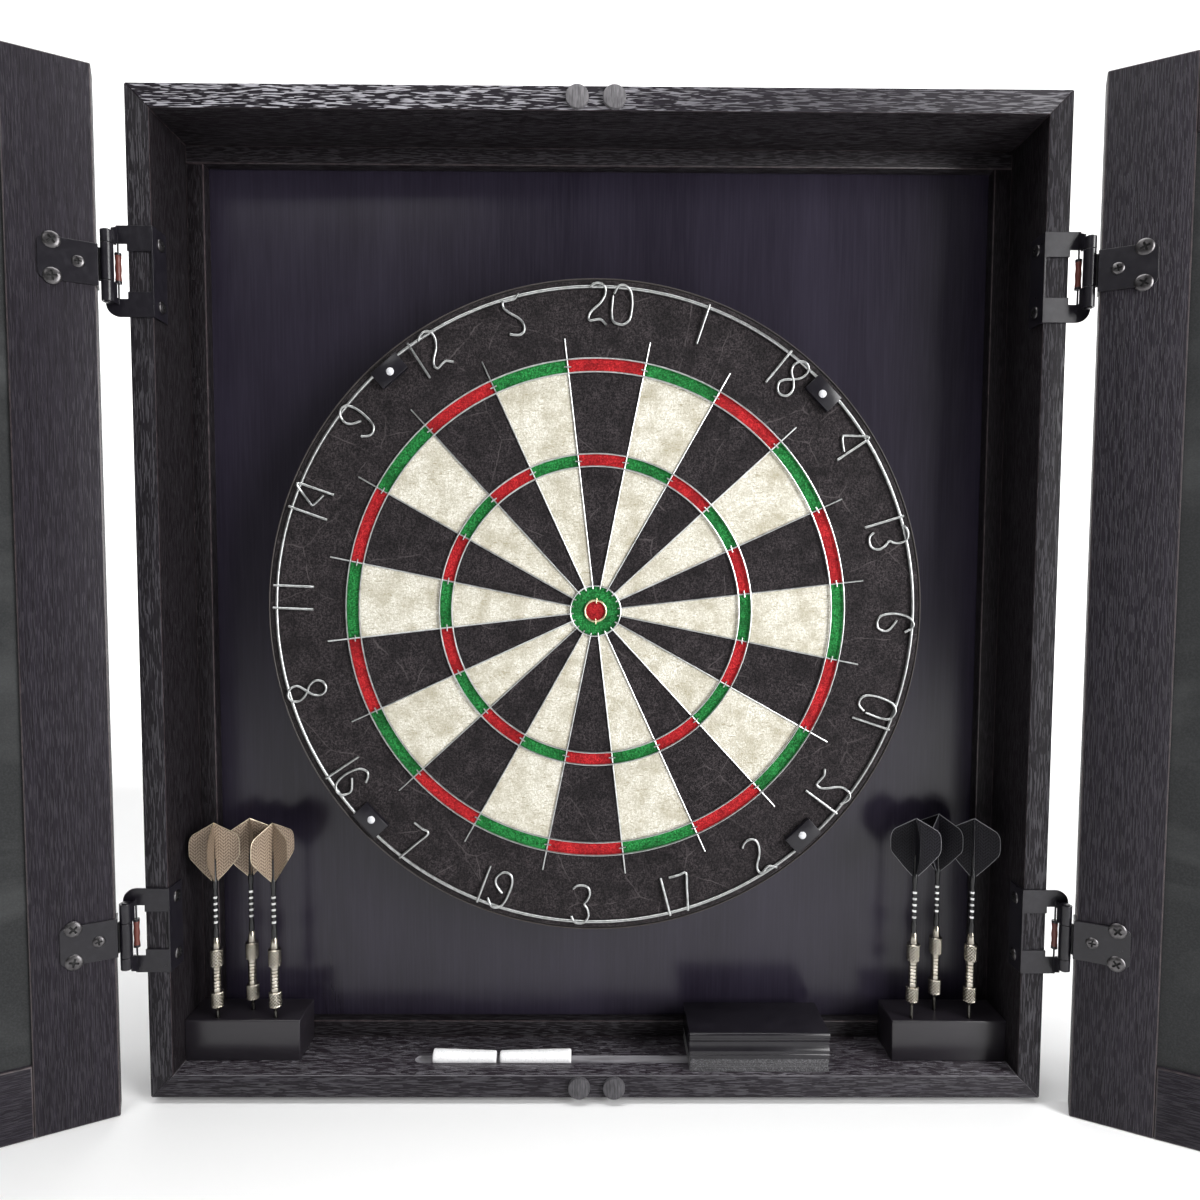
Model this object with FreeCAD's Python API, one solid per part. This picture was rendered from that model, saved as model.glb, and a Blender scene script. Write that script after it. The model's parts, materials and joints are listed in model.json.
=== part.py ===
"""Wall-hung dart board cabinet with two chalkboard doors, a bristle dart board, darts and chalk.

Millimetres, +Z up, the front faces -Y. The origin is the centre of the back face, which lies
on the wall: X is across the cabinet, Y = 0 is the wall and Z = 0 is half way up the box.
The doors stand open as they rest; each is drawn shut and then turned about its hinge pins.
"""
import FreeCAD, Part
import math
import os

V = FreeCAD.Vector
X_AXIS = V(1, 0, 0)
Y_AXIS = V(0, 1, 0)
Z_AXIS = V(0, 0, 1)
SIDES = (("left", -1), ("right", 1))

# Cabinet box
CAB_W = 612.0
CAB_H = 674.0
CAB_D = 63.0
BOARD_T = 15.5
PANEL_T = 6.0
CLEAT_W = 12.4
CLEAT_T = 9.4
HALF_W = CAB_W / 2
HALF_H = CAB_H / 2
FRONT_Y = -CAB_D
PANEL_Y = -PANEL_T
CLEAT_Y = PANEL_Y - CLEAT_T
INNER_X = HALF_W - BOARD_T
INNER_Z = HALF_H - BOARD_T
SHELF_Z = -INNER_Z

# Wall screw holes in the back panel, behind the dart board
WALL_HOLE_R = 2.75
WALL_HOLE_X = 203.0
WALL_HOLE_Z = 80.0

# Door catches
MAGNET_R = 7.5
MAGNET_T = 2.9
STRIKE_R = 7.5
STRIKE_T = 0.8
CATCH_X = 12.0
TOP_CATCH_SHIFT = -3.1

# Doors
DOOR_T = 18.0
DOOR_GAP = 4.0
DOOR_OVERHANG = 4.5
DOOR_OPEN = 152.0
MEETING_GAP = 1.0
STILE_W = 48.0
DOOR_EDGE_X = HALF_W + 3.5
DOOR_IN_Y = FRONT_Y - DOOR_GAP
DOOR_OUT_Y = DOOR_IN_Y - DOOR_T
DOOR_HALF_H = HALF_H + DOOR_OVERHANG
DOOR_PANEL_T = 6.0
DOOR_PANEL_RECESS = 6.0
DOOR_TONGUE = 6.0
CHALKBOARD_T = 3.0
KNOB_R = 11.0
KNOB_NECK_R = 5.0
KNOB_REACH = 24.0
KNOB_INSET = 24.0

# Hinges: h is measured along the pin from the middle of the hinge, towards the near door end
PLATE_T = 1.2
HINGE_X = HALF_W + 9.5
HINGE_Y = FRONT_Y - 7.0
HINGE_TOP_Z = 217.8
HINGE_LOW_Z = -219.1
PIN_R = 1.5
PIN_PLAY = 0.05
PIN_HEAD_R = 2.3
PIN_HEAD_T = 0.8
BARREL_R = 3.8
NEAR_KNUCKLE = (15.7, 23.4)
MID_KNUCKLE = (-8.0, 15.3)
FAR_KNUCKLE = (-21.2, -8.4)
WING_HALF = 29.0
STRAP_INNER = 13.0
ARM_INNER = 17.5
ARM_REACH = 14.5
ARM_CORNER_R = 9.0
WING_DEPTH = 16.0
LEAF_LENGTH = 31.0
LEAF_HALF = 13.0
LEAF_CORNER_R = 4.0
FLANGE_DEPTH = 10.5
ROLLER_R = 2.1
ROLLER_PIN_R = 0.6
ROLLER_SPAN = (-8.0, 11.5)
SHANK_R = 1.6
SHANK_LENGTH = 11.0
WING_SCREW_Y = FRONT_Y + 9.0
WING_SCREW_H = 20.0
WING_SCREW_HEAD = (4.2, 1.4)
LEAF_SCREWS = ((9.5, 0.0, 3.8), (23.5, 11.0, 5.2), (23.5, -11.0, 5.2))
LEAF_HEAD_T = 1.2
RECESS_HALF = 1.8
RECESS_SLOT = 0.7
RECESS_DEPTH = 0.9

# Dart board
BOARD_X = -2.0
BOARD_Z = 335.0 - HALF_H
BOARD_R = 223.0
BOARD_FACE_Y = FRONT_Y + 15.1
BACKING_T = 8.0
SISAL_T = 30.0
SISAL_BACK_Y = BOARD_FACE_Y + SISAL_T
BOARD_BACK_Y = SISAL_BACK_Y + BACKING_T
BOARD_TURN = 2.3
RIM_T = 1.0
WIRE_R = 0.65
BULL_WIRE_R = 0.5
RING_RADII = (170.0, 161.0, 106.5, 98.0)
OUTER_BULL_R = 17.2
INNER_BULL_R = 7.2
SPOKE_END_R = 184.0
SPOKES = 20
NUMBER_RING_R = 217.0
NUMBER_RING_WIRE_R = 1.2
NUMBER_WIRE_R = 0.9
NUMBER_TOP_R = 214.2
NUMBER_HEIGHT = 23.5
CLIP_R = 212.0
CLIP_WIDTH = 22.0
CLIP_DEPTH = 13.0
CLIP_T = 1.2
CLIP_ANGLES = (43.7, 134.8, 224.5, 316.9)
RIVET_R = 2.65
RIVET_HEAD_T = 1.2

# Hanger for the dart board
HOOK_R = 2.5
HOOK_PLAY = 0.08
HOOK_HEAD_R = 5.0
HOOK_HEAD_T = 1.1
HANGER_T = 1.0
HANGER_HALF_W = 34.0
HANGER_HALF_H = 20.0
HANGER_STEP_X = 20.0
HANGER_FACE_Y = BOARD_BACK_Y + 1.3
HANGER_SCREW_X = 27.0
HANGER_SCREW_Z = 12.0

# Dart blocks and darts
BLOCK_IN_X = 209.4
BLOCK_FRONT_Y = FRONT_Y + 17.4
BLOCK_H = 29.3
DART_HOLE_R = 1.5
DART_SPACING = 20.5
DART_FRONT_Y = FRONT_Y + 22.0
DART_MIDDLE_Y = FRONT_Y + 33.0
DART_SHIFT_X = {"left": 1.5, "right": -4.8}
DART_SETS = {"left": 25.6, "right": 21.1}
POINT_R = 1.1
POINT_LENGTH = 30.5
BARREL_OUTLINE = (
    (1.1, 0.0), (2.6, 2.4), (4.45, 3.6), (4.45, 13.6), (3.0, 14.2),
    (3.0, 32.6), (4.45, 33.2), (4.45, 44.8), (3.0, 45.4), (1.9, 53.0),
)
SHAFT_BOTTOM = 53.0
SHAFT_LENGTH = 56.0
SHAFT_R = 1.7
SHAFT_RING_R = 2.2
SHAFT_RING_T = 1.5
SHAFT_RINGS = (11.4, 15.9, 20.3, 24.7, 29.2)
FLIGHT_TOP = 135.2
FLIGHT_OUTLINE = ((0.0, 0.0), (14.5, -8.1), (17.0, -14.5), (17.0, -22.2), (2.0, -42.7), (0.0, -42.7))
FLIGHT_T = 0.5

# Chalk, its groove and the eraser
GROOVE_Y = FRONT_Y + 19.5
GROOVE_HALF_W = 4.5
GROOVE_DEPTH = 3.0
GROOVE_HALF_L = 128.7
CHALKS = {"left": (-115.8, 44.8), "right": (-18.0, -50.4)}
CHALK_R = 5.0
CHALK_END_R = 4.35
CHALK_REST = 2.3
CHALK_DROP = 0.7
ERASER_X = (64.4, 161.9)
ERASER_Y = (FRONT_Y + 4.5, FRONT_Y + 47.3)
ERASER_TOP = 27.4
FELT_T = 9.4
FELT_INSET = 1.5
ERASER_FINGER_R = 5.0
ERASER_FINGER_Z = 19.0
ERASER_FINGER_DEPTH = 2.0


def box(x0, x1, y0, y1, z0, z1):
    """A block between two opposite corners, given in any order."""
    low = V(min(x0, x1), min(y0, y1), min(z0, z1))
    return Part.makeBox(abs(x1 - x0), abs(y1 - y0), abs(z1 - z0), low)


def prism(points, push):
    """A flat outline pushed along a vector into a solid."""
    return Part.Face(Part.makePolygon(list(points) + [points[0]])).extrude(push)


def rod(radius, start, push):
    """A round bar from start along push."""
    return Part.makeCylinder(radius, push.Length, start, push)


def fuse(solids):
    """One solid from several that overlap."""
    joined = solids[0].fuse(solids[1:]) if len(solids) > 1 else solids[0]
    return joined.removeSplitter()


def save(node, solids):
    """Write one named sub-part."""
    shape = solids[0] if len(solids) == 1 else Part.makeCompound(solids)
    shape.exportStep("parts/" + node + ".step")


def mirrored(shape, side):
    """The same piece on the other side of the cabinet: everything is drawn on the left."""
    if side < 0:
        return shape
    return shape.mirror(V(0, 0, 0), X_AXIS)


def cross_recess(solid, centre, outward, across, depth=RECESS_DEPTH):
    """Cut a cross-shaped driver recess into a screw head whose top is at centre."""
    third = outward.cross(across)
    for along, wide in ((across, third), (third, across)):
        corner = centre - along * RECESS_HALF - wide * RECESS_SLOT / 2 - outward * depth
        slot = prism(
            [corner, corner + along * 2 * RECESS_HALF,
             corner + along * 2 * RECESS_HALF + wide * RECESS_SLOT, corner + wide * RECESS_SLOT],
            outward * (depth + 1))
        solid = solid.cut(slot)
    return solid


def pan_screw(seat, outward, across, head_r, head_t, shank_r=SHANK_R, shank_l=SHANK_LENGTH):
    """A domed screw: the head stands on the seat and the shank runs into the wood behind it."""
    shank = rod(shank_r, seat, outward * -shank_l)
    rim = rod(head_r, seat, outward * head_t * 0.45)
    dome = Part.makeCone(head_r, head_r * 0.62, head_t * 0.55, seat + outward * head_t * 0.45, outward)
    screw = fuse([shank, rim, dome])
    return cross_recess(screw, seat + outward * head_t, outward, across)


# ---------------------------------------------------------------- cabinet box

def hinge_levels():
    """Height of each hinge and the way its h axis points."""
    return ((HINGE_TOP_Z, 1), (HINGE_LOW_Z, -1))


def wing_screw_seats():
    """Where the frame wing screws sit on the left side board."""
    x = -INNER_X + PLATE_T
    return [V(x, WING_SCREW_Y, level + step) for level, _ in hinge_levels()
            for step in (-WING_SCREW_H, WING_SCREW_H)]


def side_board():
    """Left side board with mitred ends and pilot holes for the hinge screws."""
    outline = [(-HALF_W, -HALF_H), (-HALF_W, HALF_H), (-INNER_X, INNER_Z), (-INNER_X, -INNER_Z)]
    board = prism([V(x, FRONT_Y, z) for x, z in outline], Y_AXIS * CAB_D)
    for seat in wing_screw_seats():
        board = board.cut(rod(SHANK_R, seat, X_AXIS * -SHANK_LENGTH))
    return board


def end_board(up):
    """Top board (up = 1) or bottom board (up = -1)."""
    outline = [(-HALF_W, HALF_H), (HALF_W, HALF_H), (INNER_X, INNER_Z), (-INNER_X, INNER_Z)]
    return prism([V(x, FRONT_Y, z * up) for x, z in outline], Y_AXIS * CAB_D)


def chalk_groove():
    """Round-bottomed groove with rounded ends that keeps the chalk from rolling."""
    radius = (GROOVE_HALF_W ** 2 + GROOVE_DEPTH ** 2) / (2 * GROOVE_DEPTH)
    z = SHELF_Z + radius - GROOVE_DEPTH
    half = GROOVE_HALF_L - GROOVE_HALF_W
    return fuse([
        rod(radius, V(-half, GROOVE_Y, z), X_AXIS * 2 * half),
        Part.makeSphere(radius, V(-half, GROOVE_Y, z)),
        Part.makeSphere(radius, V(half, GROOVE_Y, z)),
    ])


def back_panel():
    """Thin panel that fills the box, with the wall holes and the hanger's pilot holes."""
    panel = box(-INNER_X, INNER_X, PANEL_Y, 0, -INNER_Z, INNER_Z)
    for x in (-WALL_HOLE_X, WALL_HOLE_X):
        for z in (-WALL_HOLE_Z, WALL_HOLE_Z):
            panel = panel.cut(rod(WALL_HOLE_R, V(x, PANEL_Y - 1, z), Y_AXIS * (PANEL_T + 2)))
    for seat in hanger_screw_seats():
        panel = panel.cut(rod(SHANK_R, seat, Y_AXIS * (PANEL_T - 1)))
    return panel


def back_cleats():
    """Four strips that pin the panel against the wall side of the box."""
    side_z = INNER_Z - CLEAT_W
    return [
        box(-INNER_X, INNER_X, CLEAT_Y, PANEL_Y, side_z, INNER_Z),
        box(-INNER_X, INNER_X, CLEAT_Y, PANEL_Y, -side_z, -INNER_Z),
        box(-INNER_X, -INNER_X + CLEAT_W, CLEAT_Y, PANEL_Y, -side_z, side_z),
        box(INNER_X - CLEAT_W, INNER_X, CLEAT_Y, PANEL_Y, -side_z, side_z),
    ]


def catch_discs(radius, thickness, y, xs, top_shift):
    """Round catch pieces at the bottom and top of the opening; the top ones sit a little to one side."""
    z = HALF_H - BOARD_T / 2
    return [rod(radius, V(x + shift, y, level), Y_AXIS * -thickness)
            for x in xs for level, shift in ((z, top_shift), (-z, 0.0))]


def save_cabinet():
    """Boards, panel, cleats and catches of the box."""
    save("top_board", [end_board(1)])
    save("bottom_board", [end_board(-1).cut(chalk_groove())])
    for name, side in SIDES:
        save(name + "_side_board", [mirrored(side_board(), side)])
    save("back_panel", [back_panel()])
    save("back_cleats", back_cleats())
    save("catch_magnets", catch_discs(MAGNET_R, MAGNET_T, FRONT_Y, (-CATCH_X, CATCH_X), TOP_CATCH_SHIFT))


# ---------------------------------------------------------------- hinges

def knuckle(span, level, way, bore):
    """One bored length of the hinge barrel; span is measured along h."""
    low = min(way * span[0], way * span[1])
    height = span[1] - span[0]
    start = V(-HINGE_X, HINGE_Y, level + low)
    return (rod(BARREL_R, start, Z_AXIS * height), rod(bore, start, Z_AXIS * height))


def bore_out(solids, bores):
    """Fuse pieces, then drill the pin's bore through them."""
    return fuse(solids).cut(fuse(bores) if len(bores) > 1 else bores[0])


def far_arm(level, way):
    """Flat arm with a rounded outer corner, at the end of the wing away from the door's end."""
    left = -HALF_W - ARM_REACH
    h_out = level - way * WING_HALF
    h_in = level - way * ARM_INNER
    arm = box(left, -HALF_W, FRONT_Y - PLATE_T, FRONT_Y, h_out, h_in)
    corner = box(left, left + ARM_CORNER_R, FRONT_Y - PLATE_T, FRONT_Y, h_out, h_out + way * ARM_CORNER_R)
    centre = V(left + ARM_CORNER_R, FRONT_Y - PLATE_T, h_out + way * ARM_CORNER_R)
    rounding = rod(ARM_CORNER_R, centre, Y_AXIS * PLATE_T)
    return arm.cut(corner.cut(rounding))


def frame_wing(level, way):
    """Wrap-round wing: plate on the inner wall, two straps over the front edge, arms and knuckles."""
    plate_x = -INNER_X + PLATE_T
    strap_y = FRONT_Y - PLATE_T
    leg_out = -HINGE_X + BARREL_R
    pieces = [box(-INNER_X, plate_x, strap_y, FRONT_Y + WING_DEPTH, level - WING_HALF, level + WING_HALF)]
    for up in (way, -way):
        pieces.append(box(-HALF_W, plate_x, strap_y, FRONT_Y,
                          level + up * STRAP_INNER, level + up * WING_HALF))
    pieces.append(box(leg_out - PLATE_T, -HALF_W, strap_y, FRONT_Y,
                      level + way * ARM_INNER, level + way * WING_HALF))
    pieces.append(far_arm(level, way))
    legs = ((NEAR_KNUCKLE[0], NEAR_KNUCKLE[1]), (FAR_KNUCKLE[0], FAR_KNUCKLE[1]))
    for low, high in legs:
        pieces.append(box(leg_out - PLATE_T, leg_out, HINGE_Y, HINGE_Y + 4.0,
                          level + way * low, level + way * high))
    pieces.append(box(leg_out - PLATE_T, leg_out, HINGE_Y, FRONT_Y,
                      level + way * ARM_INNER, level + way * NEAR_KNUCKLE[1]))
    pieces.append(box(leg_out - PLATE_T, leg_out, HINGE_Y, FRONT_Y,
                      level - way * ARM_INNER, level + way * FAR_KNUCKLE[0]))
    pin_z = level - ARM_INNER - 0.5
    pieces.append(rod(ROLLER_PIN_R, V(*roller_axis(), pin_z), Z_AXIS * (2 * ARM_INNER + 1)))
    bores = []
    for span in (NEAR_KNUCKLE, FAR_KNUCKLE):
        shell, bore = knuckle(span, level, way, PIN_R)
        pieces.append(shell)
        bores.append(bore)
    wing = bore_out(pieces, bores)
    for seat in wing_screw_seats():
        wing = wing.cut(rod(SHANK_R, seat, X_AXIS * -PLATE_T))
    return wing


def roller_axis():
    """Plan position of the nylon roller, between the two arms and in their plane."""
    return (-HINGE_X + BARREL_R - PLATE_T / 3, FRONT_Y - PLATE_T / 2)


def hinge_roller(level, way):
    """Nylon roller that the door's flange rides on as it snaps shut."""
    low = min(way * ROLLER_SPAN[0], way * ROLLER_SPAN[1])
    start = V(*roller_axis(), level + low)
    push = Z_AXIS * (ROLLER_SPAN[1] - ROLLER_SPAN[0])
    return rod(ROLLER_R, start, push).cut(rod(ROLLER_PIN_R, start, push))


def hinge_pin(level, way):
    """Pin through the three knuckles with a small head at each end."""
    low = min(way * FAR_KNUCKLE[0], way * NEAR_KNUCKLE[1])
    length = NEAR_KNUCKLE[1] - FAR_KNUCKLE[0]
    start = V(-HINGE_X, HINGE_Y, level + low)
    head = rod(PIN_HEAD_R, start - Z_AXIS * PIN_HEAD_T, Z_AXIS * PIN_HEAD_T)
    tail = rod(PIN_HEAD_R, start + Z_AXIS * length, Z_AXIS * PIN_HEAD_T)
    return fuse([rod(PIN_R, start, Z_AXIS * length), head, tail])


def door_leaf(level, way):
    """Door wing: plate on the inner face, flange round the door's edge and the middle knuckle."""
    edge = -DOOR_EDGE_X
    leaf = box(edge - PLATE_T, edge + LEAF_LENGTH, DOOR_IN_Y, DOOR_IN_Y + PLATE_T,
               level - LEAF_HALF, level + LEAF_HALF)
    far_edges = [e for e in leaf.Edges
                 if e.BoundBox.XMin > edge and e.BoundBox.YLength > PLATE_T / 2]
    leaf = leaf.makeFillet(LEAF_CORNER_R, far_edges)
    flange = box(edge - PLATE_T, edge, DOOR_IN_Y + PLATE_T, DOOR_IN_Y - FLANGE_DEPTH,
                 level - LEAF_HALF, level + LEAF_HALF)
    tab_y = HINGE_Y - BARREL_R
    tab = box(-HINGE_X, edge, tab_y, tab_y + PLATE_T,
              level + way * MID_KNUCKLE[0], level + way * LEAF_HALF)
    shell, bore = knuckle(MID_KNUCKLE, level, way, PIN_R + PIN_PLAY)
    solid = bore_out([leaf, flange, tab, shell], [bore])
    for seat, _ in leaf_screw_seats(level):
        solid = solid.cut(rod(SHANK_R, seat, Y_AXIS * -PLATE_T))
    return solid


def leaf_screw_seats(level):
    """Seat and head radius of the three screws of one door leaf."""
    y = DOOR_IN_Y + PLATE_T
    return [(V(-DOOR_EDGE_X + inset, y, level + rise), head_r) for inset, rise, head_r in LEAF_SCREWS]


def leaf_screws(level):
    """The three screws of one door leaf."""
    return [pan_screw(seat, Y_AXIS, X_AXIS, head_r, LEAF_HEAD_T) for seat, head_r in leaf_screw_seats(level)]


def save_hinges():
    """The parts of the four hinges that stay with the cabinet."""
    head_r, head_t = WING_SCREW_HEAD
    wings, screws, pins, rollers = [], [], [], []
    for _, side in SIDES:
        for seat in wing_screw_seats():
            screws.append(mirrored(pan_screw(seat, X_AXIS, Y_AXIS, head_r, head_t), side))
        for level, way in hinge_levels():
            wings.append(mirrored(frame_wing(level, way), side))
            pins.append(mirrored(hinge_pin(level, way), side))
            rollers.append(mirrored(hinge_roller(level, way), side))
    save("hinge_frame_wings", wings)
    save("frame_wing_screws", screws)
    save("hinge_pins", pins)
    save("hinge_rollers", rollers)


# ---------------------------------------------------------------- doors

def opened(solids, side):
    """Put a door piece on its side of the cabinet and swing it open about its pins."""
    placed = []
    for solid in solids:
        piece = mirrored(solid.copy(), side)
        piece.rotate(V(side * HINGE_X, HINGE_Y, 0), Z_AXIS, side * DOOR_OPEN)
        placed.append(piece)
    return placed


def panel_space(tongue):
    """Edges of the panel opening, grown on every side by a tongue."""
    left = -DOOR_EDGE_X + STILE_W - tongue
    right = -MEETING_GAP - STILE_W + tongue
    half = DOOR_HALF_H - STILE_W + tongue
    return left, right, half


def door_panel():
    """Thin panel held in a groove all round the door frame."""
    left, right, half = panel_space(DOOR_TONGUE)
    y = DOOR_OUT_Y + DOOR_PANEL_RECESS
    return box(left, right, y, y + DOOR_PANEL_T, -half, half)


def door_frame():
    """Two full-height stiles and two rails, grooved for the panel."""
    left, right, half = panel_space(0)
    pieces = [
        box(-DOOR_EDGE_X, left, DOOR_OUT_Y, DOOR_IN_Y, -DOOR_HALF_H, DOOR_HALF_H),
        box(right, -MEETING_GAP, DOOR_OUT_Y, DOOR_IN_Y, -DOOR_HALF_H, DOOR_HALF_H),
        box(left, right, DOOR_OUT_Y, DOOR_IN_Y, half, DOOR_HALF_H),
        box(left, right, DOOR_OUT_Y, DOOR_IN_Y, -half, -DOOR_HALF_H),
    ]
    groove = door_panel()
    pieces = [piece.cut(groove) for piece in pieces]
    for level, _ in hinge_levels():
        for seat, _ in leaf_screw_seats(level):
            pieces[0] = pieces[0].cut(rod(SHANK_R, seat, Y_AXIS * -SHANK_LENGTH))
    pieces[1] = pieces[1].cut(rod(SHANK_R, V(knob_x(), DOOR_OUT_Y, 0), Y_AXIS * SHANK_LENGTH))
    return pieces


def chalkboard():
    """Writing board that lies on the panel, inside the frame."""
    left, right, half = panel_space(0)
    y = DOOR_OUT_Y + DOOR_PANEL_RECESS + DOOR_PANEL_T
    return box(left, right, y, y + CHALKBOARD_T, -half, half)


def knob_x():
    """Distance of the knob from the middle of the cabinet."""
    return -MEETING_GAP - KNOB_INSET


def door_knob():
    """Turned round knob on a flared foot, with its screw running into the stile."""
    foot_r = KNOB_NECK_R + 2.0
    outline = [
        V(0, 0, 0), V(foot_r, 0, 0), V(foot_r, 0, 1.5), V(KNOB_NECK_R, 0, 3.5), V(KNOB_NECK_R, 0, 10),
        V(KNOB_R - 1, 0, 13), V(KNOB_R, 0, 16), V(KNOB_R - 1, 0, 20), V(KNOB_R - 5, 0, KNOB_REACH - 1),
        V(0, 0, KNOB_REACH),
    ]
    turned = Part.Face(Part.makePolygon(outline + [outline[0]])).revolve(V(0, 0, 0), Z_AXIS, 360)
    turned.rotate(V(0, 0, 0), X_AXIS, 90)
    turned.translate(V(knob_x(), DOOR_OUT_Y, 0))
    return fuse([turned, rod(SHANK_R, V(knob_x(), DOOR_OUT_Y, 0), Y_AXIS * SHANK_LENGTH)])


def save_doors():
    """Everything that swings with each door."""
    leaves = [door_leaf(level, way) for level, way in hinge_levels()]
    screws = [screw for level, _ in hinge_levels() for screw in leaf_screws(level)]
    pieces = {
        "door_frame": door_frame(),
        "door_panel": [door_panel()],
        "chalkboard": [chalkboard()],
        "door_knob": [door_knob()],
        "door_leaves": leaves,
        "leaf_screws": screws,
    }
    for name, side in SIDES:
        for node, solids in pieces.items():
            save(name + "_" + node, opened(solids, side))
        strikes = catch_discs(STRIKE_R, STRIKE_T, DOOR_IN_Y + STRIKE_T, (-CATCH_X,), -side * TOP_CATCH_SHIFT)
        save(name + "_door_strikes", opened(strikes, side))


# ---------------------------------------------------------------- dart board

def turned(solids):
    """Turn board pieces by the small angle at which the board hangs."""
    for solid in solids:
        solid.rotate(V(BOARD_X, 0, BOARD_Z), Y_AXIS, BOARD_TURN)
    return solids


def board_point(radius, degrees, y):
    """A point on the board; the angle runs clockwise from the top, seen from the front."""
    angle = math.radians(degrees)
    return V(BOARD_X + radius * math.sin(angle), y, BOARD_Z + radius * math.cos(angle))


def disc(radius, y_front, thickness, inner=0.0):
    """A disc or a ring about the board's centre."""
    shape = rod(radius, V(BOARD_X, y_front, BOARD_Z), Y_AXIS * thickness)
    if inner:
        shape = shape.cut(rod(inner, V(BOARD_X, y_front, BOARD_Z), Y_AXIS * thickness))
    return shape


def wire_ring(radius, wire_r, y):
    """A round wire bent into a circle."""
    return Part.makeTorus(radius, wire_r, V(BOARD_X, y, BOARD_Z), Y_AXIS)


def wire_spider():
    """Spokes lying on the board, with the double, treble and bull rings resting on them."""
    spoke_y = BOARD_FACE_Y - WIRE_R
    ring_y = spoke_y - 2 * WIRE_R
    pieces = [wire_ring(radius, WIRE_R, ring_y) for radius in RING_RADII]
    pieces.append(wire_ring(OUTER_BULL_R, WIRE_R, ring_y))
    for number in range(SPOKES):
        angle = (number + 0.5) * 360 / SPOKES
        start = board_point(OUTER_BULL_R - WIRE_R, angle, spoke_y)
        end = board_point(SPOKE_END_R, angle, spoke_y)
        pieces.append(rod(WIRE_R, start, end - start))
    pieces.append(wire_ring(INNER_BULL_R, BULL_WIRE_R, BOARD_FACE_Y - BULL_WIRE_R))
    return pieces


# Each digit is drawn with strokes on a grid 1 high; x is measured from the digit's middle.
DIGITS = {
    "0": (((-0.24, 0.74), (-0.26, 0.3), (-0.12, 0.03), (0.1, 0.03), (0.25, 0.3), (0.24, 0.78), (0.06, 1),
           (-0.14, 0.96)),),
    "1": (((0, 0), (0, 1)),),
    "2": (((-0.21, 0.93), (-0.04, 1.01), (0.18, 0.88), (0.1, 0.58), (-0.2, 0.26), (-0.2, 0.1), (0.12, 0.14),
           (0.25, 0)),),
    "3": (((-0.28, 0.9), (-0.1, 1.01), (0.12, 0.94), (0.16, 0.72), (0.05, 0.52), (0.18, 0.26), (0.08, 0.02),
           (-0.14, 0.03), (-0.28, 0.18)),),
    "4": (((0.1, 0.3), (-0.24, 0.5), (0.08, 0.98), (0.17, 0.95), (0.2, 0.05)),),
    "5": (((0.26, 0.97), (0.12, 0.9), (-0.17, 0.92), (-0.18, 0.72), (0.12, 0.4), (0.16, 0.14), (0, 0),
           (-0.22, 0.06)),),
    "6": (((0.19, 0.79), (0.08, 0.95), (-0.08, 0.98), (-0.22, 0.75), (-0.26, 0.3), (-0.12, 0.06), (0.1, 0.07),
           (0.19, 0.3), (0.08, 0.45), (-0.1, 0.56)),),
    "7": (((-0.24, 0.98), (0.22, 0.97), (0, 0)),),
    "8": (((0.02, 0.5), (-0.2, 0.72), (0, 1), (0.2, 0.72), (0.02, 0.5), (-0.2, 0.26), (0, 0), (0.2, 0.26),
           (0.02, 0.5)),),
    "9": (((0.06, 0.42), (-0.12, 0.55), (-0.21, 0.72), (-0.1, 0.95), (0.1, 0.96), (0.24, 0.7), (0.22, 0.25),
           (0.1, 0.03), (-0.1, 0.02), (-0.24, 0.17)),),
}
NUMBER_ORDER = (20, 1, 18, 4, 13, 6, 10, 15, 2, 17, 3, 19, 7, 16, 8, 11, 14, 9, 12, 5)
READ_OUTWARD = (10, 15, 2, 17, 3, 19, 7, 16, 8)


def digit_wires(text, angle, upside_down):
    """Wire strokes of one number, standing between the double ring and the number ring."""
    y = BOARD_FACE_Y - NUMBER_RING_WIRE_R
    solids = []
    for place, digit in enumerate(text):
        shift = (place - (len(text) - 1) / 2) * 0.58
        if "1" in text:
            shift *= 0.76
        for stroke in DIGITS[digit]:
            points = []
            for x, height in stroke:
                across = (x + shift) * NUMBER_HEIGHT
                out = NUMBER_TOP_R - NUMBER_HEIGHT * (height if upside_down else 1 - height)
                if upside_down:
                    across = -across
                spot = V(BOARD_X + across, y, BOARD_Z + out)
                points.append(spot)
            beads = [Part.makeSphere(NUMBER_WIRE_R, spot) for spot in points]
            bars = [rod(NUMBER_WIRE_R, a, b - a) for a, b in zip(points, points[1:])]
            solids.append(fuse(beads + bars))
    for solid in solids:
        solid.rotate(V(BOARD_X, 0, BOARD_Z), Y_AXIS, angle)
    return solids


def number_wires():
    """All twenty numbers in their usual order round the board."""
    solids = []
    for place, number in enumerate(NUMBER_ORDER):
        solids += digit_wires(str(number), place * 360 / SPOKES, number in READ_OUTWARD)
    return solids


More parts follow.
